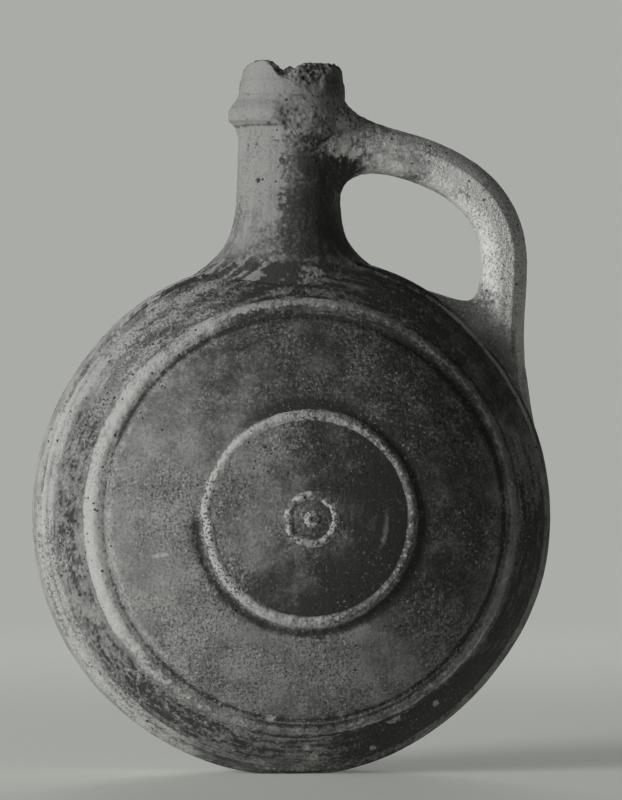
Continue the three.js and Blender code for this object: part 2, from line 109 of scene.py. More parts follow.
# Rings on the face. The two ends of the inner one lap at the left
OUTER_RING = Sizes(radius=HIGH["front_outer_ring"][0] - 2.3, width=5.4, height=1.2, lap=0)
INNER_RING = Sizes(radius=HIGH["front_inner_ring"][0] - 2.15, width=4.2, height=1.05, lap=1.1)
BOSS_RING = Sizes(radius=HIGH["front_boss_ring"][0] - 1.2, width=3.4, height=0.8, lap=0)
RING_FOOT = 1.2  # how deep a ring goes into the face
BOSS_HEIGHT = 1.2
BOSS_FOOT = 0.6
OUTER_GROOVE = Sizes(radius=OUTER_RING.radius - 4.3, width=1.5, depth=0.95)
INNER_GROOVE = Sizes(radius=INNER_RING.radius + 4.0, width=2.1, depth=1.0)
CHIPS = [  # x, z, radius and depth of scars on the face
    (34.5, 22.0, 3.0, 0.7), (1.5, 11.0, 1.5, 0.45), (5.0, 6.9, 1.9, 0.45), (28.5, 10.5, 1.3, 0.4),
    (52.0, 27.5, 1.6, 0.4), (-13.0, 23.0, 1.8, 0.35), (14.0, 24.5, 1.6, 0.4),
]

# How far smooth outlines lie inside the CAD solids, so that the relief on them stays in the CAD's box
BAND_INSET = 0.3
NECK_INSET = 0.1
MOUTH_INSET = 0.15
COLLAR_INSET = 0.3
HANDLE_INSET = 0.15
HANDLE_SIDE_INSET = 0.2

# Neck and mouth, along the neck's leaning axis from the top of the body
NECK_ROOT = np.array([-2.0, 0.0, BODY_TOP_Z])
NECK_LEAN = math.radians(1.9)
NECK_BORE = 14.0
NECK_SPIGOT = 11.0
NECK_HOLE = Sizes(low=-30, high=12, overlap=0.6)  # overlap: of neck and body
NECK_HEIGHT = 55.0
NECK_END = NECK_HEIGHT + 2  # inside the mouth
NECK_PIT = Sizes(turn=-36, height=29.0, radius=1.0, depth=0.8)  # turn to the right from the camera
COLLAR_OUTLINE = np.array([  # height along the neck and share of the ridge's full rise
    (63.2, -0.2), (61.6, 0.04), (59.6, 0.22), (57.8, 0.58), (55.9, 0.86), (53.9, 1.0), (52.4, 1.08),
    (51.4, 0.98), (50.4, 0.66), (49.2, 0.34), (47.2, 0.16), (45.2, 0.03), (44.0, -0.12),
])
COLLAR_LIMIT = COLLAR_RADIUS - 0.05  # of its crumbs, inside the CAD's box
COLLAR_FOOT = 1.8  # how deep it goes into the neck
COLLAR_SMEAR = 5.0  # how far the handle's luting drags it down
MOUTH_FOOT = NECK_HEIGHT - 1.5
MOUTH_STEP = Sizes(height=NECK_HEIGHT + 12.3, depth=0.35)
MOUTH_TOP = 75.0
LIP_RADIUS = 19.4
LIP_BORE = 14.6
LIP_TAPER = 12.5
LIP_DROP = 0.4  # of the whole lip, below the CAD's top
LIP_BREAKS = [  # place and width in degrees, drop of the outer and of the inner edge
    (-109, 16, 5.0, 0.8),
    (-106, 15, 0.0, 4.4),
    (-74, 26, 12.5, 0.2),
    (0, 32, 2.8, 0.6),
    (90, 40, 0.8, 0.8),
    (107, 17, 1.7, 1.7),
    (178, 24, 4.2, 2.2),
]

# Handle
HANDLE_HALF = 8.7
HANDLE_OUTER_CORNER = 6.2
HANDLE_BEVEL = 0.7  # of the outer corners: 0 is round, 1 is cut straight
HANDLE_INNER_CORNER = 6.6
SECTION_STEP = 0.8
HANDLE_REACH = HIGH["handle"][0] - HANDLE_HALF
HANDLE_START = np.array([11.5, BODY_TOP_Z + 43.2])
HANDLE_TOP_PULL = 40.6
HANDLE_SIDE_PULL = 31.0
HANDLE_FOOT_RUN = 42.0
HANDLE_SINK = 6.0
HANDLE_FOOT_TOP = BODY_CENTRE_Z + math.sqrt(BODY_RADIUS**2 - HANDLE_REACH**2) + HANDLE_FOOT_RUN
HANDLE_WAIST = Sizes(depth=1.4, below=27, height=18)  # pressed in from outside, below the foot's top
HANDLE_THINNING = Sizes(depth=1.9, below=22, height=16)  # and from inside the loop
HANDLE_STRIP = (3.4, 5.2)  # the outer edge, from the middle line, with painted light on its shaded facet

# Lutings: spread out of the loop, into the loop and to the sides, the height in which it falls to a third,
# the part of that height which lies under the surface that the clay lands on, and the extra spread of a
# close fillet in the loop's corner
NECK_LUTING = Sizes(outer=13.6, inner=15.8, side=7.5, decay=5.7, toe=0.3, fillet=0)
UPPER_LUTING = Sizes(outer=7.9, inner=7.4, side=9.2, decay=6.6, toe=0.04, fillet=7.5)
LOWER_LUTING = Sizes(outer=4.8, inner=24.0, side=2.4, decay=7.4, toe=0.3, fillet=0)
FILLET_DECAY = 1.5
LUTING_EDGE = 0.18
LUTING_SINK = 0.5  # of the thin end, into the stem
LUTING_CORE = 1.5  # its inner wall, under the stem's surface
LUTING_ROOT = 2.0  # its lower end, under the surface that it lands on

CAMERA_AZIMUTH = math.radians(-7.6)  # the side of the jug that the photograph shows

# Noise that depends on place alone, so that it is the same in every run and on every piece

GRADIENTS = np.random.default_rng(11).normal(size=(256, 3))
GRADIENTS /= np.linalg.norm(GRADIENTS, axis=1)[:, None]


def noise(points, size, seed=0):
    """Smooth lumps of about the given size, from -1 to 1."""
    place = np.asarray(points, float) / size
    cell = np.floor(place).astype(np.int64)
    share = place - cell
    ease = share**3 * (share * (share * 6 - 15) + 10)
    total = np.zeros(place.shape[:-1])
    for corner in itertools.product((0, 1), repeat=3):
        corner = np.array(corner)
        key = (cell + corner) * np.array([73856093, 19349663, 83492791])
        mixed = key[..., 0] ^ key[..., 1] ^ key[..., 2] ^ (seed * 2654435761)
        gradient = GRADIENTS[(mixed ^ (mixed >> 13)) & 255]
        weight = np.prod(np.where(corner == 1, ease, 1 - ease), axis=-1)
        total += weight * np.sum(gradient * (share - corner), axis=-1)
    return 1.6 * total


def ramp(low, high, value):
    """A smooth rise from 0 at low to 1 at high, or a fall where high is the smaller one."""
    share = np.clip((value - low) / (high - low), 0, 1)
    return share * share * (3 - 2 * share)


def bump(value, centre, width):
    """A bell of height 1."""
    return np.exp(-(((value - centre) / width) ** 2))


def between(value, start, full, fade, end):
    """1 from full to fade, and 0 before the start and after the end."""
    return ramp(start, full, value) * ramp(end, fade, value)


def layers(points, *parts):
    """Noises added up, each given by its share, its size and its seed."""
    return sum(share * noise(points, size, seed) for share, size, seed in parts)


def hand_relief(points):
    """The unevenness that hands and wheel leave all over the jug."""
    return layers(points, (0.16, 34, 1), (0.08, 13, 2), (0.05, 5, 3))


def half_turn(degrees):
    """The same angle between -180 and 180."""
    return (degrees + 180) % 360 - 180


# Meshes


def column(first, last, count):
    """Even steps down the rows of a grid."""
    return np.linspace(first, last, count)[:, None]


def join(*parts):
    """Points from their coordinates."""
    return np.stack(np.broadcast_arrays(*parts), axis=-1)


def grid_faces(rows, columns, wrap):
    """Quads over a grid of points whose columns run round and close, and its rows too if they wrap."""
    row = np.arange(rows if wrap else rows - 1)
    row, place = np.meshgrid(row, np.arange(columns), indexing="ij")
    above, beside = (row + 1) % rows, (place + 1) % columns
    corners = [(row, place), (row, beside), (above, beside), (above, place)]
    return join(*(r * columns + p for r, p in corners)).reshape(-1, 4)


def add_object(name, data):
    obj = bpy.data.objects.new(name, data)
    bpy.context.collection.objects.link(obj)
    return obj


def piece(name, points, wrap=True):
    """A smooth closed mesh from a grid of points in millimetres. Points that coincide become one."""
    faces = grid_faces(*points.shape[:2], wrap)
    mesh = bpy.data.meshes.new(name)
    mesh.from_pydata((points.reshape(-1, 3) / MM).tolist(), [], faces.tolist())
    work = bmesh.new()
    work.from_mesh(mesh)
    bmesh.ops.remove_doubles(work, verts=work.verts, dist=1e-7)
    bmesh.ops.recalc_face_normals(work, faces=work.faces)
    work.to_mesh(mesh)
    work.free()
    mesh.shade_smooth()
    return add_object(name, mesh)


def cut(obj, cutter):
    """Takes the cutter's solid out of a piece."""
    modifier = obj.modifiers.new("hole", "BOOLEAN")
    modifier.operation = "DIFFERENCE"
    modifier.solver = "EXACT"
    modifier.object = cutter
    ready = obj.evaluated_get(bpy.context.evaluated_depsgraph_get())
    mesh = bpy.data.meshes.new_from_object(ready)
    obj.modifiers.clear()
    obj.data = mesh
    mesh.shade_smooth()
    return obj


def outward(profile):
    """Unit normals of an outline that runs with its outside on the left."""
    along = np.gradient(profile, axis=0)
    normal = join(-along[:, 1], along[:, 0])
    return normal / np.maximum(np.linalg.norm(normal, axis=1), 1e-9)[:, None]


# Body: outlines of radius and depth, turned about the axis through the middle of both faces


def face_depth(radius):
    return BODY_HALF_DEPTH * np.sqrt(np.maximum(1 - (radius / BODY_RADIUS) ** 2, 0))


def body_radius_at(depth):
    return BODY_RADIUS * np.sqrt(np.maximum(1 - (depth / BODY_HALF_DEPTH) ** 2, 0))


def on_body(radius, angle, depth, side):
    """Places in the frame. The angle runs from the handle's side over the top; side is -1 in front."""
    return join(radius * np.cos(angle), side * depth, BODY_CENTRE_Z + radius * np.sin(angle))


def out_of_round(angle):
    """How far the edge of the body stands out of a true circle, by the angle over the top."""
    degrees = np.degrees(angle) % 360
    return sum(rise * bump(degrees, place, width) for rise, place, width in OUT_OF_ROUND)


def round_angles(count):
    return np.linspace(0, 2 * math.pi, count, endpoint=False)


def turned(radius, angle, height):
    """Places round an upright axis. The angle runs from the handle's side to the back."""
    return join(radius * np.cos(angle), radius * np.sin(angle), height)


def circle(angle, radius=20):
    """Places on a level circle, for noise that runs round without a break."""
    return turned(radius, angle, 0)


def from_chips(points):
    """How far points lie from each scar, in shares of its radius, and the scar's depth."""
    for x, z, size, depth in CHIPS:
        yield np.hypot(points[..., 0] - x, 1.4 * (points[..., 2] - z)) / size, depth


def groove(radius, sizes):
    return sizes.depth * bump(radius, sizes.radius, sizes.width)


def face_relief(points, radius, angle):
    """Height of the face's own detail over the smooth outline."""
    ripple = noise(join(radius, 0 * radius, 0 * radius), 2.6, 21)
    turning = 0.05 * ripple * (1 + 1.5 * ramp(70, 84, radius))
    crumble = 1 + 0.35 * noise(points, 3.2, 5)
    open_side = 1 - 0.85 * between(np.degrees(angle), 62, 90, 170, 184)
    grooves = groove(radius, OUTER_GROOVE) + groove(radius, INNER_GROOVE) * open_side
    height = turning - grooves * crumble
    ragged = 1 + 0.35 * noise(points, 1.6, 8)
    for away, depth in from_chips(points):
        height = height - depth * (1 - ramp(0.7, 1.1, away * ragged))
    return height


def neck_frame(points):
    """From places along the neck's own axis to the frame of the jug."""
    lean, level = math.sin(NECK_LEAN), math.cos(NECK_LEAN)
    x = points[..., 0] * level + points[..., 2] * lean
    z = points[..., 2] * level - points[..., 0] * lean
    return join(x, points[..., 1], z) + NECK_ROOT


def on_neck(radius, angle, height):
    return neck_frame(turned(radius, angle, height))


def neck_hole():
    """The solid that makes room for the neck in bowls, band and coil."""
    wide = np.array([0, 1, 1, 0]) * (NECK_RADIUS - NECK_HOLE.overlap)
    height = np.repeat([NECK_HOLE.low, NECK_HOLE.high], 2)
    return piece("neck_hole", on_neck(wide[:, None], round_angles(96), height[:, None]), wrap=False)


HOLE = neck_hole()


def bowl(name, side, segments=512, face_rows=164, inside_rows=26):
    angle = round_angles(segments)
    land = BAND_HALF - BAND_OVERLAP
    edge = body_radius_at(land)
    across = column(0, edge, face_rows)
    normal = outward(np.concatenate([across, face_depth(across)], axis=1))[:, None]
    smooth = on_body(across, angle, face_depth(across), side)
    out = face_relief(smooth, across, angle + 0 * across) + hand_relief(smooth)
    out *= ramp(BODY_RADIUS + 3, BODY_RADIUS - 3, across)
    radius = across + normal[..., 0] * out * ramp(0, 3, across)
    radius = radius + out_of_round(angle) * ramp(EDGE_RADIUS, edge, radius)
    depth = face_depth(across) + normal[..., 1] * out
    depth[0] = depth[0].mean()
    seat = np.array([[BAND_SEAT, land - SEAT_DROP], [BAND_SEAT, RIM_GAP], [RIM_INNER, RIM_GAP]])
    turn = np.linspace(0, math.pi / 2, inside_rows)[1:]
    inside = join(RIM_INNER * np.cos(turn), (BODY_HALF_DEPTH - WALL) * np.sin(turn))
    inside[-1, 0] = 0
    rest = np.concatenate([seat, inside])[:, None]
    hidden = on_body(rest[..., 0], angle, rest[..., 1], side)
    points = np.concatenate([on_body(radius, angle, depth, side), hidden])
    return cut(piece(name, points, wrap=False), HOLE)


def band_radius(depth):
    """Outside of the seam band at a distance from the middle plane, with rounded corners."""
    fine = np.linspace(-20, 20, 1601)
    scale = BAND_HALF / BAND_OUTLINE[-1, 0]
    fall = np.interp(np.abs(fine), BAND_OUTLINE[:, 0] * scale, BAND_OUTLINE[:, 1])
    kernel = np.exp(-np.linspace(-2, 2, 41) ** 2)
    soft = np.convolve(np.pad(fall, 20, mode="edge"), kernel / kernel.sum(), mode="valid")
    return BODY_RADIUS - np.interp(depth, fine, soft)


def seam_band(name, segments=480, rows=67):
    angle = round_angles(segments)
    depth = column(BAND_HALF, -BAND_HALF, rows) + 0 * angle
    base = band_radius(depth) + out_of_round(angle)
    places = on_body(base, angle, depth, 1)
    turning = join(depth, 0.06 * base * np.cos(angle), 0.06 * base * np.sin(angle))
    worn = 0.35 * bump(np.abs(depth), BAND_LIP, 1.2) * noise(places, 7, 32)
    out = 0.06 * noise(turning, 1.5, 31) + worn + hand_relief(places) - BAND_INSET
    under = np.array([[-BAND_HALF], [BAND_HALF]])
    hidden = on_body(BAND_SEAT - BAND_FOOT, angle, under, 1)
    points = np.concatenate([on_body(base + out, angle, depth, 1), hidden])
    points[..., 2] = np.maximum(points[..., 2], 0)
    return cut(piece(name, points), HOLE)


def seam_coil(name, segments=192, rows=13):
    angle = round_angles(segments)
    turn = column(math.pi / 2, 1.5 * math.pi, rows)
    radius = COIL_RADIUS + COIL_THICK * np.cos(turn)
    depth = COIL_HALF_WIDTH * np.sin(turn)
    places = on_body(radius, angle, depth, 1)
    points = on_body(radius + 0.6 * np.cos(turn) * noise(places, 9, 41), angle, depth, 1)
    return cut(piece(name, points), HOLE)


def face_ring(name, side, ring, segments, seed, rows=19):
    """A strip of clay laid round on the face, rubbed down unevenly. Its ends may lap at the left."""
    angle = round_angles(segments)
    across = column(1, -1, rows)
    shift = ring.lap * (((angle / (2 * math.pi) + 0.5) % 1) - 0.5)
    along = circle(angle, ring.radius)
    wide = 1.2 + 0.16 * noise(along, 14, seed) + 0.12 * noise(along, 4, seed + 1)
    high = 1 + 0.3 * noise(along, 11, seed + 2) + 0.3 * noise(along, 3, seed + 3)
    radius = ring.radius + shift + across * ring.width / 2 * wide
    rise = (0.5 + 0.5 * np.cos(math.pi * across)) ** 0.8 * ring.height * high - 0.12
    places = on_body(radius, angle, face_depth(radius), side)
    under = face_depth(radius) + face_relief(places, radius, angle + 0 * radius) + hand_relief(places)
    depth = under + rise + 0.14 * noise(places, 1.5, seed + 4) * (1 - across**2)
    foot = on_body(radius[[-1, 0]], angle, under[[-1, 0]] - RING_FOOT, side)
    points = np.concatenate([on_body(radius, angle, depth, side), foot])
    return piece(name, points)


def boss(name, side, segments=96, rows=19):
    """The button at the centre, dented and rubbed."""
    angle = round_angles(segments)
    share = column(0, 1, rows)
    radius = BOSS_RADIUS * share + 0 * angle
    height = BOSS_HEIGHT * (1 - share**2.4) - 0.75 * bump(share, 0, 0.38) - 0.25 * share**4
    depth = face_depth(radius) + height
    places = on_body(radius, angle, depth, side)
    depth = depth + 0.14 * noise(places, 1.7, 71) * ramp(0, 0.2, share) + hand_relief(places)
    depth[0] = depth[0].mean()
    base = on_body(np.array([[BOSS_RADIUS], [0]]), angle, face_depth(0) - BOSS_FOOT, side)
    points = np.concatenate([on_body(radius, angle, depth, side), base])
    return piece(name, points, wrap=False)


# Neck, collar and mouth: outlines of radius and height, turned about the neck's axis


def neck_marks(points):
    """Upright marks of the smoothing tool, and grit, from places round the neck's own axis."""
    return layers(points * (1, 1, 0.07), (0.12, 3.0, 51), (0.04, 1.2, 52)) + 0.06 * noise(points, 1.6, 54)


def neck_turn(points):
    """Degrees round the neck from the side that faces the camera, to the right."""
    axis = NECK_ROOT[0] + (points[..., 2] - BODY_TOP_Z) * math.tan(NECK_LEAN)
    turn = np.degrees(np.arctan2(points[..., 1], points[..., 0] - axis))
    return half_turn(turn - math.degrees(CAMERA_AZIMUTH) + 90)


def neck_pit(points):
    """How deep points lie in the one large pit of the neck, up to 1."""
    aside = np.radians(neck_turn(points) - NECK_PIT.turn) * NECK_RADIUS
    up = points[..., 2] - BODY_TOP_Z - NECK_PIT.height
    return ramp(1.2, 0.75, np.hypot(aside, up) / NECK_PIT.radius)


def neck(name, segments=320, rows=180, inside_rows=30):
    angle = round_angles(segments)
    height = column(-NECK_SPIGOT, NECK_END, rows) + 0 * angle
    radius = NECK_RADIUS - NECK_INSET + 0 * height
    places = on_neck(radius, angle, height)
    radius = radius + neck_marks(turned(radius, angle, height)) + hand_relief(places)
    radius = radius - NECK_PIT.depth * neck_pit(places)
    inside = column(NECK_END, -NECK_SPIGOT, inside_rows)
    bore = NECK_BORE + 0.2 * noise(on_neck(NECK_BORE, angle, inside), 6, 53)
    points = np.concatenate([on_neck(radius, angle, height), on_neck(bore, angle, inside)])
    return piece(name, points)


def lip_heights(angle):
    """Heights of the outer and the inner edge of the broken lip."""
    heights = np.full((2, len(angle)), MOUTH_TOP - LIP_DROP)
    for place, width, outer, inner in LIP_BREAKS:
        heights -= np.array([[outer], [inner]]) * bump(half_turn(np.degrees(angle) - place), 0, width)
    return heights


def mouth_wall(height):
    """Outside radius of the mouth, which narrows to its lip."""
    taper = ramp(MOUTH_TOP - LIP_TAPER, MOUTH_TOP, height)
    return MOUTH_RADIUS + (LIP_RADIUS - MOUTH_RADIUS) * taper


def mouth(name, segments=320, rows=44, break_rows=22, inside_rows=24):
    """The short tube above the collar. Its lip is broken, so its end is a rough fracture."""
    angle = round_angles(segments)
    ragged = layers(circle(angle), (0.6, 4.2, 61), (0.55, 1.9, 62))
    outer_edge, inner_edge = lip_heights(angle) + [ragged, 0.7 * np.roll(ragged, 9)]

    height = MOUTH_FOOT + (outer_edge - MOUTH_FOOT) * column(0, 1, rows)
    wall = mouth_wall(height) - MOUTH_INSET
    step = MOUTH_STEP.depth * ramp(-0.5, 0.5, height - MOUTH_STEP.height)
    marks = hand_relief(on_neck(wall, angle, height)) + 0.6 * neck_marks(turned(wall, angle, height))
    radius = wall - step + marks

    across = column(0, 1, break_rows)[1:-1]
    crest = 0.8 * np.sin(math.pi * across)
    break_height = outer_edge + (inner_edge - outer_edge) * across**0.8 + crest
    break_radius = radius[-1] + (LIP_BORE - radius[-1]) * across
    rough = on_neck(break_radius, angle, break_height)
    ends = np.sin(math.pi * across) ** 0.5
    break_height = break_height + layers(rough, (0.8, 2.8, 63), (0.6, 1.3, 64)) * ends
    break_radius = break_radius + 0.6 * noise(rough, 1.7, 66) * ends

    down = column(0, 1, inside_rows)
    inside_height = inner_edge + (MOUTH_FOOT - inner_edge) * down
    bore = LIP_BORE + (NECK_BORE - LIP_BORE) * down
    bore = bore + 0.2 * noise(on_neck(bore, angle, inside_height), 4, 65)

    parts = [(radius, height), (break_radius, break_height), (bore, inside_height)]
    points = np.concatenate([on_neck(r, angle, h) for r, h in parts])
    points[..., 2] = np.minimum(points[..., 2], HIGH["mouth"][2])
    return piece(name, points)


def luting_lump(degrees):
    """Where the clay of the handle is smeared over the ridge, by the angle round the neck."""
    return between(degrees, -116, -98, -40, -16)


def collar(name, segments=320, rows=64):
    """The ridge over the joint of neck and mouth. It runs out in the handle's rough luting."""
    angle = round_angles(segments)
    degrees = half_turn(np.degrees(angle))
    lump = luting_lump(degrees)
    rise = (COLLAR_RADIUS - COLLAR_INSET - MOUTH_RADIUS) * ramp(22, 58, np.abs(degrees))
    corners = np.arange(len(COLLAR_OUTLINE))
    spot = column(0, corners[-1], rows)
    lift, share = (np.interp(spot, corners, COLLAR_OUTLINE[:, k]) for k in range(2))
    uneven = circle(angle)
    smear = (COLLAR_SMEAR + 2.5 * noise(uneven, 6, 84)) * lump
    smear = smear * ramp(0, 10, COLLAR_OUTLINE[0, 0] - lift)
    height = lift - smear + 0.3 * noise(uneven, 9, 81)
    step = (MOUTH_RADIUS - NECK_RADIUS) * ramp(NECK_HEIGHT - 2, NECK_HEIGHT, height)
    radius = NECK_RADIUS - NECK_INSET + step + share * rise * (1 - 0.45 * lump)
    places = on_neck(radius, angle, height)
    crumbs = (0.14 + 0.12 * lump) * layers(places, (1, 2.0, 82), (0.9, 1.0, 83))
    radius = radius + hand_relief(places) + crumbs * np.clip(share, 0, 1) ** 0.5
    radius = np.minimum(radius, COLLAR_LIMIT)
    back = on_neck(NECK_RADIUS - COLLAR_FOOT, angle, height[[-1, 0]])
    points = np.concatenate([on_neck(radius, angle, height), back])
    return piece(name, points)


# Handle: a rounded section carried along a path in the middle plane


def foot_x(z):
    """Middle line of the straight foot, with its waist."""
    waist = bump(z, HANDLE_FOOT_TOP - HANDLE_WAIST.below, HANDLE_WAIST.height)
    return HANDLE_REACH - HANDLE_WAIST.depth * waist


def pressed(out, z):
    """Distance out of the loop, with the inner side of the foot pressed flat."""
    there = bump(z, HANDLE_FOOT_TOP - HANDLE_THINNING.below, HANDLE_THINNING.height)
    return out + HANDLE_THINNING.depth * there * ramp(0, -7, out)


def handle_path(count):
    """Points and directions along the handle's middle line, and how far along each even step lies."""
    sunk = BODY_RADIUS - HANDLE_SINK
    foot_end = BODY_CENTRE_Z + math.sqrt(max(sunk**2 - (HANDLE_REACH + HANDLE_HALF) ** 2, 0))
    knots = np.array([
        HANDLE_START,
        HANDLE_START + [HANDLE_TOP_PULL, 0],
        [HANDLE_REACH, HANDLE_FOOT_TOP + HANDLE_SIDE_PULL],
        [HANDLE_REACH, HANDLE_FOOT_TOP],
    ])
    share = column(0, 1, 400)
    bend = sum(math.comb(3, k) * share**k * (1 - share) ** (3 - k) * knots[k] for k in range(4))
    down = np.linspace(HANDLE_FOOT_TOP, foot_end, 201)[1:]
    line = np.concatenate([bend, join(np.full(len(down), HANDLE_REACH), down)])
    line[:, 0] += foot_x(line[:, 1]) - HANDLE_REACH
    run = np.concatenate([[0], np.cumsum(np.linalg.norm(np.diff(line, axis=0), axis=1))])
    even = np.linspace(0, run[-1], count)
    points = join(*(np.interp(even, run, line[:, k]) for k in range(2)))
    along = np.gradient(points, axis=0)
    return points, along / np.linalg.norm(along, axis=1)[:, None], even


def handle_section(count=26):
    """Outline of the handle, out of the loop and to the side, with the way out at each point."""
    within = np.linspace(0, math.pi / 2, count)
    straight = math.cos(math.pi / 4) / np.cos(within - math.pi / 4)
    half_side = HANDLE_HALF_WIDTH - HANDLE_SIDE_INSET
    outline, normals = [], []
    for quarter, (out, aside) in enumerate([(1, 1), (-1, 1), (-1, -1), (1, -1)]):
        corner, bevel = (HANDLE_OUTER_CORNER, HANDLE_BEVEL) if out > 0 else (HANDLE_INNER_CORNER, 0)
        normal = circle(quarter * math.pi / 2 + within, 1)[:, :2]
        centre = [out * (HANDLE_HALF - corner), aside * (half_side - corner)]
        outline.append(centre + corner * (1 + bevel * (straight - 1))[:, None] * normal)
        normals.append(normal)
    outline, normals = np.concatenate(outline), np.concatenate(normals)
    gaps = np.linalg.norm(np.roll(outline, -1, axis=0) - outline, axis=1)
    parts = np.maximum(np.ceil(gaps / SECTION_STEP), 1).astype(int)
    this = np.repeat(np.arange(len(parts)), parts)
    following = (this + 1) % len(parts)
    share = np.concatenate([np.arange(n) / n for n in parts])[:, None]
    return [spots[this] * (1 - share) + spots[following] * share for spots in (outline, normals)]


SECTION = handle_section()


def along_handle(points, along, outline):
    """Section points carried to places on the path."""
    x = points[..., 0] - along[..., 1] * outline[..., 0]
    z = points[..., 1] + along[..., 0] * outline[..., 0]
    return join(x, outline[..., 1], z)


def stem_relief(points):
    """The grit and the finger marks of the handle and of the clay round its ends."""
    return hand_relief(points) + layers(points, (0.1, 1.9, 91), (0.22, 17, 92)) - HANDLE_INSET


def handle(name, steps=200):
    points, along, _ = handle_path(steps)
    points, along = points[:, None], along[:, None]
    outline, normals = SECTION
    shape = outline + normals * stem_relief(along_handle(points, along, outline))[..., None]
    shape[..., 0] = pressed(shape[..., 0], points[..., 1])
    rows = along_handle(points, along, shape)
    ends = [rows[[k]].mean(axis=1, keepdims=True) + 0 * rows[[k]] for k in (0, -1)]
    rows = np.concatenate([ends[0], rows, ends[1]])
    return piece(name, rows, wrap=False)


# Lutings: clay round a stem, thick where it lands and feathered out along the stem


def luting(name, clay, section, landing, place, relief, steps=44, rough=0.0):
    """The section is the stem's outline with its normals. Landing gives the level that the clay lands on,
    and place carries points of the section to a level along the stem."""
    outline, normals = section
    way = np.where(normals[:, 0] > 0, clay.outer, clay.inner)
    spread = clay.side + (way - clay.side) * np.abs(normals[:, 0]) ** 4
    top = clay.decay * np.log(spread / LUTING_EDGE)
    share = column(0, 1, steps) ** 1.6
    toe = clay.decay * clay.toe
    height = (top + toe) * share - toe
    close = clay.fillet * np.maximum(-normals[:, 0], 0) ** 4 * np.exp(-height / FILLET_DECAY)
    thick = spread * np.exp(-height / clay.decay) + close - LUTING_SINK * share**3
    foot = outline + normals * thick[..., None]
    level = landing(foot) + height
    smooth = place(foot, level)
    lumps = rough * (1 - share) * layers(smooth, (1, 3.0, 101), (0.8, 1.5, 102))
    grown = foot + normals * (relief(smooth) + lumps)[..., None]
    core = outline - LUTING_CORE * normals
    rows = np.concatenate([
        place(core, np.minimum(landing(core), level[0]) - LUTING_ROOT)[None],
        place(grown, level),
        place(core, level[-1])[None],
    ])
    return piece(name, rows)


def body_outside_z(x, y):
    depth = np.abs(y)
    radius = np.where(depth < BAND_HALF, band_radius(depth) - BAND_INSET, body_radius_at(depth))
    lift = np.sqrt(np.maximum(radius**2 - x**2, 0))
    radius = radius + out_of_round(np.arctan2(lift, x)) * ramp(EDGE_RADIUS, EDGE_RADIUS + 10, radius)
    return BODY_CENTRE_Z + np.sqrt(np.maximum(radius**2 - x**2, 0))


def neck_luting(name):
    normals = circle(round_angles(240), 1)[:, :2]

    def landing(foot):
        return body_outside_z(NECK_ROOT[0] + foot[..., 0], foot[..., 1])

    def place(foot, z):
        lean = (z - BODY_TOP_Z) * math.tan(NECK_LEAN)
        return join(NECK_ROOT[0] + foot[..., 0] + lean, foot[..., 1], z)

    def relief(points):
        return hand_relief(points) + neck_marks(points - NECK_ROOT)

    section = NECK_RADIUS * normals, normals
    return luting(name, NECK_LUTING, section, landing, place, relief, steps=60)


def upper_luting(name):
    points, along, run = handle_path(600)

    def landing(foot):
        axis = NECK_ROOT[0] + (HANDLE_START[1] + foot[..., 0] - BODY_TOP_Z) * math.tan(NECK_LEAN)
        return axis + np.sqrt(np.maximum(NECK_RADIUS**2 - foot[..., 1] ** 2, 0)) - HANDLE_START[0]

    def place(foot, distance):
        spot = join(*(np.interp(distance, run, points[:, k]) for k in range(2)))
        way = join(*(np.interp(distance, run, along[:, k]) for k in range(2)))
        spot[..., 0] = np.where(distance < 0, HANDLE_START[0] + distance, spot[..., 0])
        return along_handle(spot, way, foot)

    return luting(name, UPPER_LUTING, SECTION, landing, place, stem_relief, steps=64, rough=0.45)


def lower_luting(name):
    def landing(foot):
        return body_outside_z(HANDLE_REACH + foot[..., 0], foot[..., 1])

    def place(foot, z):
        return join(foot_x(z) + pressed(foot[..., 0], z), foot[..., 1], z)

    return luting(name, LOWER_LUTING, SECTION, landing, place, stem_relief)


# Paint: where the clay is rubbed pale, where it is dark with slip or dirt, and where light and shade are
# painted


def paint(obj, worn):
    """Stores, per vertex, how pale and how dark the surface is painted, from wear, slip and dirt and in
    places from painted light and shade.
    """
    count = len(obj.data.vertices)
    flat = np.zeros(count * 3)
    obj.data.vertices.foreach_get("co", flat)
    points = flat.reshape(-1, 3) * MM
    pale, dark = worn(points)
    for name, values in (("pale", pale), ("dark", dark)):
        layer = obj.data.attributes.new(name, "FLOAT", "POINT")
        layer.data.foreach_set("value", np.clip(values + np.zeros(count), 0, 1).astype(np.float32))


def around(points):
    """Radius and angle round the body's axis, the angle in degrees from the handle over the top."""
    x, z = points[:, 0], points[:, 2] - BODY_CENTRE_Z
    return np.hypot(x, z), np.degrees(np.arctan2(z, x)) % 360


def along_circles(points, fine, long, seed):
    """Streaks that follow the turning of the body."""
    return noise(points[:, [1, 0, 2]] / (fine, long, long), 1, seed)


def shoulder(points):
    """Pale crust and dark slip in streaks over the top of the body, with painted shade darkening its right
    half.
    """
    streaks = along_circles(points, 1.5, 12, 201) + 0.5 * along_circles(points, 3.0, 24, 205)
    streaks = streaks + 0.6 * noise(points, 1.9, 202)
    x = points[:, 0]
    from_left = between(x, -85, -55, -25, 15)
    thin = 0.35 * ramp(0.25, 0.55, streaks) * ramp(5, 25, x)
    flakes = ramp(0.22, 0.5, streaks + 0.7 * noise(points, 1.3, 210)) * bump(x, -2, 18)
    crust = ramp(-0.02, 0.25, streaks) * (0.2 * ramp(40, 0, x) + 1.1 * from_left) + thin + flakes
    slip = ramp(0.15, -0.2, streaks) * ramp(-80, -40, x)
    # painted shade: darker from the neck to the right, away from the light
    dark = (0.5 * ramp(-35, -5, x) + 0.6 * slip) * (1 - 0.22 * ramp(5, 45, x))
    return crust, dark * (1 - 0.8 * flakes)


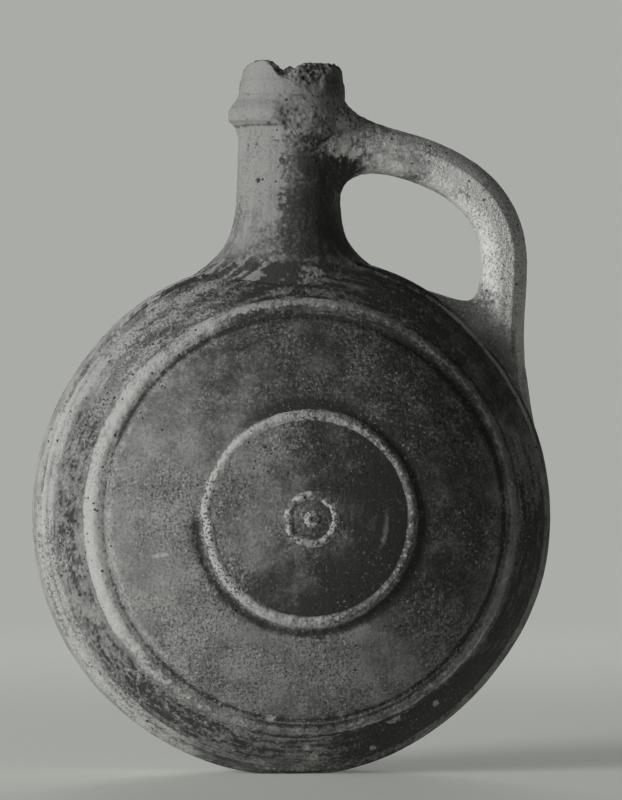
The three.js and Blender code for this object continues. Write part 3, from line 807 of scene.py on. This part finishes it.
def face_scars(points, up):
    """One scratch at the left, the chips, and small flakes at the bottom and at the upper right."""
    x, y, z = points.T
    scars = bump(z - 85.2 - 0.16 * (x + 55), 0, 0.9) * bump(x, -56, 4.2) * (y < 0)
    ragged = 1 + 0.3 * noise(points, 1.3, 209)
    for away, _ in from_chips(points):
        scars = np.maximum(scars, 1 - ramp(0.8, 1.2, away * ragged))
    at_bottom = ramp(-48, -66, up) * ramp(30, -10, x)
    at_right = ramp(20, 50, up) * ramp(-10, 25, x)
    flakes = ramp(0.5, 0.75, noise(points, 1.5, 208))
    return np.maximum(scars, 0.8 * (at_bottom + 0.7 * at_right) * flakes)


def face_slip_and_shade(points, radius, up):
    """Dark slip left on the disc, with painted shade over the disc's right half, the face's right half and
    its top; the disc and the face are also darker towards the bottom.
    """
    x = points[:, 0]
    drift = x + layers(points, (9, 22, 206), (4, 7, 207))
    disc = ramp(INNER_RING.radius + 1, INNER_RING.radius - 3, radius)
    # painted shade: the right halves and the top of the face are darkened, away from the light
    return np.maximum.reduce([
        disc * (0.28 + 0.72 * ramp(-30, 40, drift) + 0.28 * ramp(-4, -32, up)),
        0.68 * ramp(-5, 42, drift) * ramp(-90, -22, up) * ramp(95, 60, x),
        0.6 * ramp(5, 50, up) * ramp(-95, -15, drift),
        0.24 * ramp(-35, -65, up),
    ])


def paint_bowl(points):
    radius, angle = around(points)
    x, up = points[:, 0], points[:, 2] - BODY_CENTRE_Z
    left = ramp(20, -60, x)
    streaks = along_circles(points, 1.2, 14, 203) + 0.6 * noise(points, 3, 204)
    crumbs = layers(points, (1, 1.7, 214), (0.7, 0.9, 215))
    border = ramp(82, 85, radius)
    on_top = ramp(74, 83, radius) * between(angle, 30, 58, 132, 166)
    # the slip from the shoulder also carries its painted shade on the right
    crust, slip = shoulder(points)
    scars = face_scars(points, up)
    edge = bump(radius, 95.2, 1.6) * left
    lip = bump(radius, OUTER_GROOVE.radius - 2.4, 1.0) * ramp(0, -60, x)
    pale = 0.2 * ramp(20, -70, x) * (1 - 0.8 * border) + border * 0.3 * streaks * left + on_top * crust
    pale = pale + 0.6 * edge + (0.25 + 0.4 * crumbs) * lip
    at_left = between(angle, 95, 120, 168, 184)
    # painted shade in the two grooves on the face, less in the inner groove at the left
    grooves = (0.6 + 0.4 * crumbs) * bump(radius, OUTER_GROOVE.radius, 0.8)
    grooves = grooves + (0.8 - 0.62 * at_left) * bump(radius, INNER_GROOVE.radius, 2.1)
    # slip in streaks, and the border darker towards the bottom
    stain_and_shade = 0.4 * ramp(0.1, -0.5, streaks) + 0.3 * ramp(-40, -80, up)
    stain_and_shade = stain_and_shade + (0.3 - 0.6 * crumbs) * bump(radius, 89.0, 5.5) * left
    # painted shade: the right half of the face darkened, away from the light
    stain_and_shade = stain_and_shade + 0.72 * ramp(0, 40, x) * ramp(40, -15, up)
    stain_and_shade = border * stain_and_shade * (1 - on_top) + on_top * slip
    arc = bump(radius, 28.6 + 0.5 * crumbs, 1.0) * bump((angle + 180) % 360, 170, 15)
    dark = grooves + np.maximum(face_slip_and_shade(points, radius, up), stain_and_shade) - 0.7 * arc
    return np.maximum(pale, scars), dark * (1 - 0.6 * edge) * (1 - scars)


def paint_band(points):
    x, y, z = points.T
    aside = np.abs(y)
    _, angle = around(points)
    streaks = along_circles(points, 1.2, 30, 211)
    left = ramp(20, -60, x)
    upper_left = left * ramp(-20, 40, z - BODY_CENTRE_Z)
    on_top = between(angle, 40, 62, 120, 150)
    at_foot = between(angle, 8, 26, 50, 66)
    # painted light: a pale line along the lip beside the handle's foot, for light reflected along that edge
    beside_foot = bump(aside, BAND_LIP, 1.7) * at_foot
    # the slip from the shoulder also carries its painted shade on the right
    crust, slip = shoulder(points)
    bare = 0.52 + 0.22 * bump(aside, BAND_LIP, 1.0) + 0.12 * streaks
    pale = bare * left * (1 - on_top) + on_top * crust + 0.9 * beside_foot
    line = bump(aside, 12.8, 0.7) * (0.12 * left + 0.3 * upper_left + 0.4 * at_foot)
    # painted shade on the right half, away from the light; the band is also darker near the floor
    dark = 0.25 * ramp(0.1, -0.6, streaks) + 0.29 * ramp(0, 50, x) * (1 - on_top)
    dark = dark + line + on_top * slip + 0.5 * ramp(20, 2, z)
    return pale, dark * (1 - 0.7 * beside_foot)


def paint_ring(points):
    """Both large rings: the outer one is worn off at the right, the inner one is rubbed all round. Painted
    shade darkens their flanks, the right of the inner one, and the outer one at its top and bottom.
    """
    x, _, z = points.T
    radius, angle = around(points)
    outer = radius > (OUTER_RING.radius + INNER_RING.radius) / 2
    from_middle = radius - np.where(outer, OUTER_RING.radius, INNER_RING.radius)
    away = np.maximum(ramp(92, 62, angle), ramp(200, 262, angle))
    at_top = ramp(135, 105, angle)
    crumbs = layers(points, (1, 2.0, 222), (0.9, 0.9, 223))
    wide = np.where(outer, OUTER_RING.width * (1 - 0.5 * away), INNER_RING.width)
    crest = ramp(0.8, 0.3, np.abs(from_middle) / wide + np.where(outer, 0.25, 0.15) * crumbs)
    rub = 0.35 * noise(points, 7, 221) + np.where(outer, 0.25 + 0.4 * np.maximum(away, at_top), 0.5) * crumbs
    # painted shade: the inner ring less pale on its right, away from the light
    inner_strength = 0.95 - 0.7 * ramp(-15, 40, x) - 0.1 * ramp(0, -35, z - BODY_CENTRE_Z)
    strength = np.where(outer, 0.95 - 0.85 * away - 0.3 * at_top * (1 - away), inner_strength)
    line = outer * bump(from_middle, 1.3, 0.6) * between(angle, 255, 290, 320, 350)
    # painted shade under the crest at the top of the outer ring, where its inner side faces down
    rubbed = outer * between(angle, 52, 74, 104, 128) * ramp(0.6, -0.6, from_middle + 0.8 * crumbs)
    # painted shade at the top right and the bottom of the outer ring, and on the right of the inner one
    outer_ring_shade = 0.35 * bump(angle, 45, 22) + 0.35 * bump(angle, 278, 30)
    ring_shade = np.where(outer, outer_ring_shade, 0.4 * ramp(5, 42, x)) * (1 - line)
    # painted shade on the flanks off the crest, except at the far left
    dark = 0.5 * (1 - crest) * ramp(-60, 0, x) + ring_shade + 0.55 * rubbed
    return crest * (strength + rub) * (1 - 0.7 * rubbed) + 0.7 * line, dark


def paint_boss(points):
    """Rubbed to crumbs, most of all at the left of the ring. The hollow at the centre and the moat round the
    boss are painted dark as shade.
    """
    rub = layers(points, (1, 3.0, 231), (0.8, 1.2, 232))
    radius, _ = around(points)
    # painted shade in the centre's hollow and in the moat round the boss
    moat = bump(radius, 0, 1.0) + bump(radius, BOSS_RADIUS + 1.2, 1.4)
    across = points[:, 0] - 0.6 * (points[:, 2] - BODY_CENTRE_Z)
    worn_off = ramp(BOSS_RADIUS + 2, BOSS_RADIUS + 3, radius) * ramp(5, -4, across)
    pale = 0.68 + 0.15 * (radius < BOSS_RADIUS) - 0.4 * worn_off + (0.8 + 0.5 * worn_off) * rub - moat
    return pale, 0.08 + 0.9 * moat + 0.3 * ramp(0, 0.6, -rub)


def paint_neck(points):
    """Pale strokes on the side of the light, dark slip with painted shade round the right, whose edge starts
    in grit, and darker, less pale clay low down.
    """
    strokes = noise(points / (2.2, 2.2, 26), 1, 241)
    grit = layers(points, (1, 1.7, 243), (0.7, 0.9, 246))
    turn = neck_turn(points) + 5 * noise(points, 6, 242) + 13 * grit
    lift = points[:, 2] - BODY_TOP_Z
    above = ramp(NECK_HEIGHT, NECK_HEIGHT + 6, lift)
    low = ramp(30, 4, lift)
    start = 19 * above - 10
    # painted shade with dark slip: the neck's right side, turned from the light, is darkened
    right_slip_and_shade = 0.74 * ramp(start - 3, start + 7, turn) + 0.26 * ramp(start + 14, start + 26, turn)
    right_slip_and_shade = right_slip_and_shade * ramp(150, 110, turn) * (1 - 0.22 * ramp(45, 70, turn))
    smear = bump(turn, 34, 26) * bump(lift, 44, 6) * ramp(-0.5, 0.4, grit)
    dark = np.maximum((0.8 - 0.56 * above) * right_slip_and_shade * (1 - 0.8 * smear), 0.2 * low)
    # the pit is painted dark, as painted shade in it
    return 0.85 + 0.3 * strokes - 0.5 * right_slip_and_shade - 0.4 * low + 0.5 * smear, np.maximum(dark, neck_pit(points))


def paint_mouth(points):
    """As the neck, with the rough dark clay of the break and one pale nick."""
    pale, dark = paint_neck(points)
    x, y, lift = (points - NECK_ROOT).T
    turn = neck_turn(points)
    radius = np.hypot(x - lift * math.tan(NECK_LEAN), y)
    broken = ramp(0.6, 1.5, mouth_wall(lift) - radius)
    broken = broken * ramp(LIP_BORE + 0.1, LIP_BORE + 0.6, radius) * (1 - bump(turn, -1, 9))
    crumbs = layers(points, (1, 1.9, 244), (0.8, 0.9, 245))
    nick = bump(turn, 30, 3) * bump(lift, 59.8, 1.3) * ramp(LIP_BORE + 1, LIP_BORE + 2, radius)
    pale = pale * (1 - broken) + broken * (0.35 + 0.7 * crumbs) + nick
    return pale, np.maximum(dark, broken * (0.5 - 0.6 * crumbs)) * (1 - nick)


def paint_neck_luting(points):
    pale, right_slip_and_shade = paint_neck(points)
    # the slip from the shoulder also carries its painted shade on the right
    crust, slip = shoulder(points)
    level = points[:, 2] + layers(points, (2.0, 5, 252), (1, 1.8, 253))
    on_top = ramp(BODY_TOP_Z + 1.5, BODY_TOP_Z - 4.5, level)
    return pale * (1 - on_top) + on_top * crust, np.maximum(right_slip_and_shade * (1 - on_top), on_top * slip)


def down_to_foot(points, strip, pale, dark):
    """From the bare clay of the handle down to the slip that runs up its foot; the outer edge strip stays
    pale there as painted light.
    """
    radius, _ = around(points)
    fade = ramp(2, 23, radius - BODY_RADIUS + layers(points, (2.4, 6, 281), (2.2, 1.6, 282)))
    return pale * fade + 0.55 * strip * (1 - fade), dark + 0.24 * (1 - fade) * (1 - strip)


def paint_handle(points):
    """Pale and gritty, paler down the side, with painted light on the shaded outer edge: a strip kept free of
    the dark rub, though a little less pale.
    """
    rub = layers(points, (1, 12, 261), (0.5, 3, 262))
    path, along, _ = handle_path(160)
    plane = points[:, [0, 2]]
    nearest = np.argmin(np.linalg.norm(plane[:, None] - path, axis=2), axis=1)
    offset = plane - path[nearest]
    out = along[nearest, 0] * offset[:, 1] - along[nearest, 1] * offset[:, 0]
    # painted light: the strip along the shaded outer edge
    strip = ramp(*HANDLE_STRIP, out + 0.7 * rub)
    pale = 0.52 + 0.4 * ramp(40, 75, points[:, 0]) + 0.25 * rub - 0.08 * strip
    return down_to_foot(points, strip, pale, 0.3 * ramp(0.3, 0.9, -rub) * (1 - strip))


def paint_upper_luting(points):
    x, lift = points[:, 0], points[:, 2] - BODY_TOP_Z
    lump = layers(points, (1, 4, 271), (0.7, 1.6, 272), (0.6, 0.9, 275))
    smear = bump(x, 18, 9) * bump(lift, 46, 8)
    near = ramp(34, 20, x)
    # Near the neck the luting is darker and less pale: dark slip with painted shade low down, and painted
    # shade where it meets the neck and along its top
    toe = ramp(17, 9, x + lump)
    right_slip_and_shade = near * ramp(41, 35, lift + 2 * lump)
    top = near * ramp(50, 55, lift + lump)
    dark = np.maximum(0.95 * right_slip_and_shade, 0.38 * toe) + 0.38 * near * ramp(0.1, 0.7, -lump) + 0.3 * top
    return 0.68 + 0.4 * lump + 0.3 * smear - 0.18 * near - 0.15 * toe, dark


def paint_collar(points):
    lump = luting_lump(half_turn(neck_turn(points) + math.degrees(CAMERA_AZIMUTH) - 90))
    crumbs = layers(points, (1, 1.9, 273), (0.8, 1.0, 274))
    lift = points[:, 2] - BODY_TOP_Z + 0.4 * crumbs
    # painted shade under the collar's ridge
    under = bump(lift, 50.0, 0.7) * (1 - lump)
    _, right_slip_and_shade = paint_neck(points)
    dark = 0.6 * under + lump * 0.32 * ramp(0.3, -0.6, crumbs) + 0.5 * ramp(0.5, 0.9, -crumbs)
    pale = 0.8 + 0.3 * crumbs - lump * (0.26 - 0.3 * crumbs)
    return pale, np.maximum(dark, right_slip_and_shade * ramp(49, 44, lift))


def paint_lower_luting(points):
    strip = ramp(*HANDLE_STRIP, points[:, 0] - foot_x(points[:, 2]))
    return down_to_foot(points, strip, 0.9 - 0.08 * strip, 0)


def paint_raw(points):
    return 0.4 + 0.2 * noise(points, 8, 291), 0.1


# Materials

GRAIN_DEPTH = 0.0009


class Nodes:
    """Short words for making and joining the nodes of one material."""

    def __init__(self, material):
        self.tree = material.node_tree
        self.tree.nodes.clear()

    def add(self, kind, inputs=None, **settings):
        node = self.tree.nodes.new(kind)
        for key, value in settings.items():
            setattr(node, key, value)
        for key, value in (inputs or {}).items():
            self.feed(node.inputs[key], value)
        return node

    def feed(self, socket, value):
        if isinstance(value, bpy.types.NodeSocket):
            self.tree.links.new(value, socket)
        else:
            socket.default_value = value

    def math(self, operation, a, b):
        return self.add("ShaderNodeMath", {0: a, 1: b}, operation=operation).outputs[0]

    def plus(self, a, b):
        return self.math("ADD", a, b)

    def minus(self, a, b):
        return self.math("SUBTRACT", a, b)

    def times(self, a, b):
        return self.math("MULTIPLY", a, b)

    def noise(self, vector, scale, detail=2.0, roughness=0.5):
        inputs = {"Vector": vector, "Scale": scale, "Detail": detail, "Roughness": roughness}
        return self.add("ShaderNodeTexNoise", inputs).outputs["Fac"]

    def ramp(self, value, low, high, to_low=0.0, to_high=1.0):
        inputs = {"Value": value, "From Min": low, "From Max": high, "To Min": to_low, "To Max": to_high}
        return self.add("ShaderNodeMapRange", inputs, interpolation_type="SMOOTHSTEP").outputs["Result"]

    def mix(self, share, a, b):
        node = self.add("ShaderNodeMix", data_type="RGBA")
        colours = [socket for socket in node.inputs if socket.type == "RGBA"]
        for socket, value in zip([node.inputs["Factor"], *colours], (share, a, b)):
            self.feed(socket, value)
        return next(socket for socket in node.outputs if socket.type == "RGBA")


def grey(value, warmth=0.012):
    """An almost neutral clay colour, as the monochrome photograph shows."""
    return (value * (1 + warmth), value * (1 + warmth), value * (1 - 2 * warmth), 1)


def fired_clay(name, base, pale, dark, roughness, grain, speckle, pitted):
    """Fired clay with slip: worn pale and darkened by the paint, which carries wear, slip and dirt and also
    painted light and shade, with grit, pits and grain in patches.
    """
    material = bpy.data.materials.new(name)
    material.use_nodes = True
    n = Nodes(material)
    place = n.add("ShaderNodeTexCoord").outputs["Object"]
    worn = n.add("ShaderNodeAttribute", attribute_name="pale").outputs["Fac"]
    stain_and_shade = n.add("ShaderNodeAttribute", attribute_name="dark").outputs["Fac"]
    mottle = n.minus(n.noise(place, 95, 4, 0.65), 0.5)
    patches = n.ramp(n.noise(place, 34, 3, 0.6), 0.4, 0.6, 0.4, 1.0)
    stipple = n.times(n.minus(n.noise(place, 700, 4, 0.7), 0.5), patches)
    grit = n.noise(place, 1050, 2, 0.6)
    dark_grit = n.times(n.ramp(grit, 0.5, 0.62, 0.0, 0.9 * speckle), patches)
    aside = n.add("ShaderNodeVectorMath", {0: place, 1: (0.4, 0.2, 0.7)}).outputs[0]
    break_up = n.plus(n.times(stipple, 1.9), n.times(mottle, 0.9))
    worn_mask = n.ramp(n.plus(worn, break_up), 0.2, 0.8)
    stain_and_shade_mask = n.ramp(n.minus(stain_and_shade, n.times(break_up, 0.9)), 0.12, 0.88)
    chalk = n.minus(n.noise(aside, 950, 2, 0.6), n.times(stain_and_shade_mask, 0.07))
    pale_grit = n.times(n.ramp(chalk, 0.55, 0.66, 0.0, speckle), patches)
    colour = n.mix(n.ramp(mottle, -0.2, 0.2), grey(base * 0.78), grey(base * 1.22))
    for mask, tone in ((worn_mask, pale), (stain_and_shade_mask, dark), (dark_grit, dark), (pale_grit, pale)):
        colour = n.mix(mask, colour, grey(tone))
    clusters = n.ramp(n.noise(aside, 30, 2), 0.45, 0.62)
    pits = n.add("ShaderNodeTexVoronoi", {"Vector": place, "Scale": 430.0}, feature="F1")
    chance = n.add("ShaderNodeSeparateColor", {0: pits.outputs["Color"]})
    few = n.math("LESS_THAN", chance.outputs[1], n.times(clusters, pitted))
    size = n.times(chance.outputs[2], 0.27)
    pit = n.times(n.math("LESS_THAN", pits.outputs["Distance"], size), few)
    # the pits are painted dark, as painted shade in them
    colour = n.mix(n.times(pit, 0.85), colour, grey(dark * 0.5))
    height = n.plus(n.times(n.times(grit, patches), 0.4), stipple)
    height = n.minus(height, n.times(pit, 0.5))
    relief = n.add("ShaderNodeBump", {"Strength": grain, "Distance": GRAIN_DEPTH, "Height": height})
    rough = n.ramp(stipple, -0.3, 0.3, roughness - 0.08, min(roughness + 0.08, 1.0))
    shader = n.add("ShaderNodeBsdfPrincipled", {
        "Base Color": colour,
        "Roughness": rough,
        "Specular IOR Level": 0.2,
        "Normal": relief.outputs["Normal"],
    })
    n.add("ShaderNodeOutputMaterial", {"Surface": shader.outputs[0]})
    return material


CLAYS = {  # base, pale and dark tone, roughness, grain, speckle and share of pits
    "slip": (0.24, 0.42, 0.045, 0.74, 0.75, 0.8, 0.95),
    "band_slip": (0.26, 0.48, 0.045, 0.78, 0.6, 0.4, 0.5),
    "worn_clay": (0.2, 0.33, 0.06, 0.88, 0.7, 0.3, 0.5),
    "handle_clay": (0.3, 0.76, 0.065, 0.88, 1.0, 0.6, 0.5),
    "ring_clay": (0.22, 0.47, 0.045, 0.82, 0.7, 0.45, 0.5),
    "rubbed_clay": (0.2, 0.5, 0.045, 0.85, 0.9, 1.0, 0.5),
    "raw_clay": (0.2, 0.3, 0.06, 0.92, 0.95, 0.6, 0.5),
}
LOOKS = {name: fired_clay(name, *values) for name, values in CLAYS.items()}


# The jug

PIECES = [  # node, slot, clay, paint, and how it is built
    ("front_bowl", "slip", "slip", paint_bowl, bowl, FRONT),
    ("back_bowl", "slip", "slip", paint_bowl, bowl, BACK),
    ("seam_band", "slip", "band_slip", paint_band, seam_band),
    ("inner_seam_coil", "raw_clay", "raw_clay", paint_raw, seam_coil),
    ("neck", "worn_clay", "worn_clay", paint_neck, neck),
    ("mouth", "worn_clay", "worn_clay", paint_mouth, mouth),
    ("neck_collar", "worn_clay", "worn_clay", paint_collar, collar),
    ("neck_luting", "worn_clay", "worn_clay", paint_neck_luting, neck_luting),
    ("handle", "worn_clay", "handle_clay", paint_handle, handle),
    ("upper_handle_luting", "worn_clay", "handle_clay", paint_upper_luting, upper_luting),
    ("lower_handle_luting", "worn_clay", "handle_clay", paint_lower_luting, lower_luting),
]
for word, side in (("front", FRONT), ("back", BACK)):  # rings: sizes, segments and seed
    PIECES += [
        (f"{word}_outer_ring", "ring_clay", "ring_clay", paint_ring, face_ring, side, OUTER_RING, 800, 300),
        (f"{word}_inner_ring", "ring_clay", "rubbed_clay", paint_ring, face_ring, side, INNER_RING, 560, 320),
        (f"{word}_boss_ring", "ring_clay", "rubbed_clay", paint_boss, face_ring, side, BOSS_RING, 200, 340),
        (f"{word}_boss", "ring_clay", "rubbed_clay", paint_boss, boss, side),
    ]

for node, slot, look, worn, build, *sizes in PIECES:
    obj = build(f"clay_{node}", *sizes)
    paint(obj, worn)
    obj.data.materials.clear()
    obj.data.materials.append(LOOKS[look])
    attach(obj, "root")
    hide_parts(node)
bpy.data.objects.remove(HOLE)


# Floor, light and camera

FLOOR_RADIUS = 2.2
FLOOR_FADE = (0.35, 1.35)
FLOOR_GLOW = 0.17  # the paper's share of the studio's even light
PAPER_TONES = (0.63, 0.65, 0.60, 1), (0.69, 0.71, 0.66, 1)
BACKGROUND = (0.402, 0.418, 0.386)
FILL_LIGHT = 0.05
LAMP_AIM = Vector((0, 0, 0.14))
LAMPS = {
    "key": {"azimuth": -64, "elevation": 10, "distance": 2.4, "size": 1.1, "power": 50},
    "back": {"azimuth": 172.4, "elevation": 14, "distance": 2.6, "size": 1.2, "power": 30},
}
CAMERA_DISTANCE = 2.0
SENSOR_WIDTH = 36.0
MM_PER_PIXEL = 0.386
IMAGE_HEIGHT = 800
AIM_RIGHT = 0.0075
AIM_UP = 0.1433


def floor():
    mesh = bpy.data.meshes.new("floor")
    work = bmesh.new()
    bmesh.ops.create_circle(work, cap_ends=True, radius=FLOOR_RADIUS, segments=96)
    work.to_mesh(mesh)
    work.free()
    material = bpy.data.materials.new("floor_paper")
    material.use_nodes = True
    n = Nodes(material)
    place = n.add("ShaderNodeTexCoord").outputs["Object"]
    far = n.add("ShaderNodeVectorMath", {0: place}, operation="LENGTH").outputs["Value"]
    grain = n.noise(place, 300, 3)
    colour = n.mix(grain, *PAPER_TONES)
    matt = n.add("ShaderNodeBsdfDiffuse", {"Color": colour}).outputs[0]
    glow = n.add("ShaderNodeEmission", {"Color": colour, "Strength": FLOOR_GLOW}).outputs[0]
    paper = n.add("ShaderNodeAddShader", {0: matt, 1: glow}).outputs[0]
    clear = n.add("ShaderNodeBsdfTransparent").outputs[0]
    fade = n.ramp(far, *FLOOR_FADE)
    shown = n.add("ShaderNodeMixShader", {0: fade, 1: paper, 2: clear}).outputs[0]
    n.add("ShaderNodeOutputMaterial", {"Surface": shown})
    mesh.materials.append(material)
    obj = add_object("floor", mesh)


def world():
    made = bpy.data.worlds.new("studio")
    made.use_nodes = True
    n = Nodes(made)
    seen = n.add("ShaderNodeLightPath").outputs["Is Camera Ray"]
    light = n.add("ShaderNodeBackground", {"Color": (1, 1, 1, 1), "Strength": FILL_LIGHT}).outputs[0]
    back = n.add("ShaderNodeBackground", {"Color": (*BACKGROUND, 1), "Strength": 1.0}).outputs[0]
    both = n.add("ShaderNodeMixShader", {0: seen, 1: light, 2: back}).outputs[0]
    n.add("ShaderNodeOutputWorld", {"Surface": both})
    bpy.context.scene.world = made


def aim(obj, target, way, distance):
    """Puts a lamp or camera at a distance from its target and turns it to look there."""
    obj.location = target + way * distance
    obj.rotation_euler = way.to_track_quat("Z", "Y").to_euler()


def lamp(name, azimuth, elevation, distance, size, power):
    """A soft lamp that looks at the jug. The azimuth is round from the front, towards +X."""
    a, e = math.radians(azimuth), math.radians(elevation)
    way = Vector((math.sin(a) * math.cos(e), -math.cos(a) * math.cos(e), math.sin(e)))
    light = bpy.data.lights.new(name, "AREA")
    light.shape = "DISK"
    light.size = size
    light.energy = power
    aim(add_object(name, light), LAMP_AIM, way, distance)


def camera():
    way = Vector((math.sin(CAMERA_AZIMUTH), -math.cos(CAMERA_AZIMUTH), 0))
    right = Vector((math.cos(CAMERA_AZIMUTH), math.sin(CAMERA_AZIMUTH), 0))
    lens = bpy.data.cameras.new("camera")
    lens.sensor_width = SENSOR_WIDTH
    lens.lens = SENSOR_WIDTH * CAMERA_DISTANCE * MM / (MM_PER_PIXEL * IMAGE_HEIGHT)
    obj = add_object("camera", lens)
    aim(obj, right * AIM_RIGHT + Vector((0, 0, AIM_UP)), way, CAMERA_DISTANCE)
    bpy.context.scene.camera = obj


floor()
world()
for name, settings in LAMPS.items():
    lamp(name, **settings)
camera()
bpy.context.scene.view_settings.view_transform = "Standard"
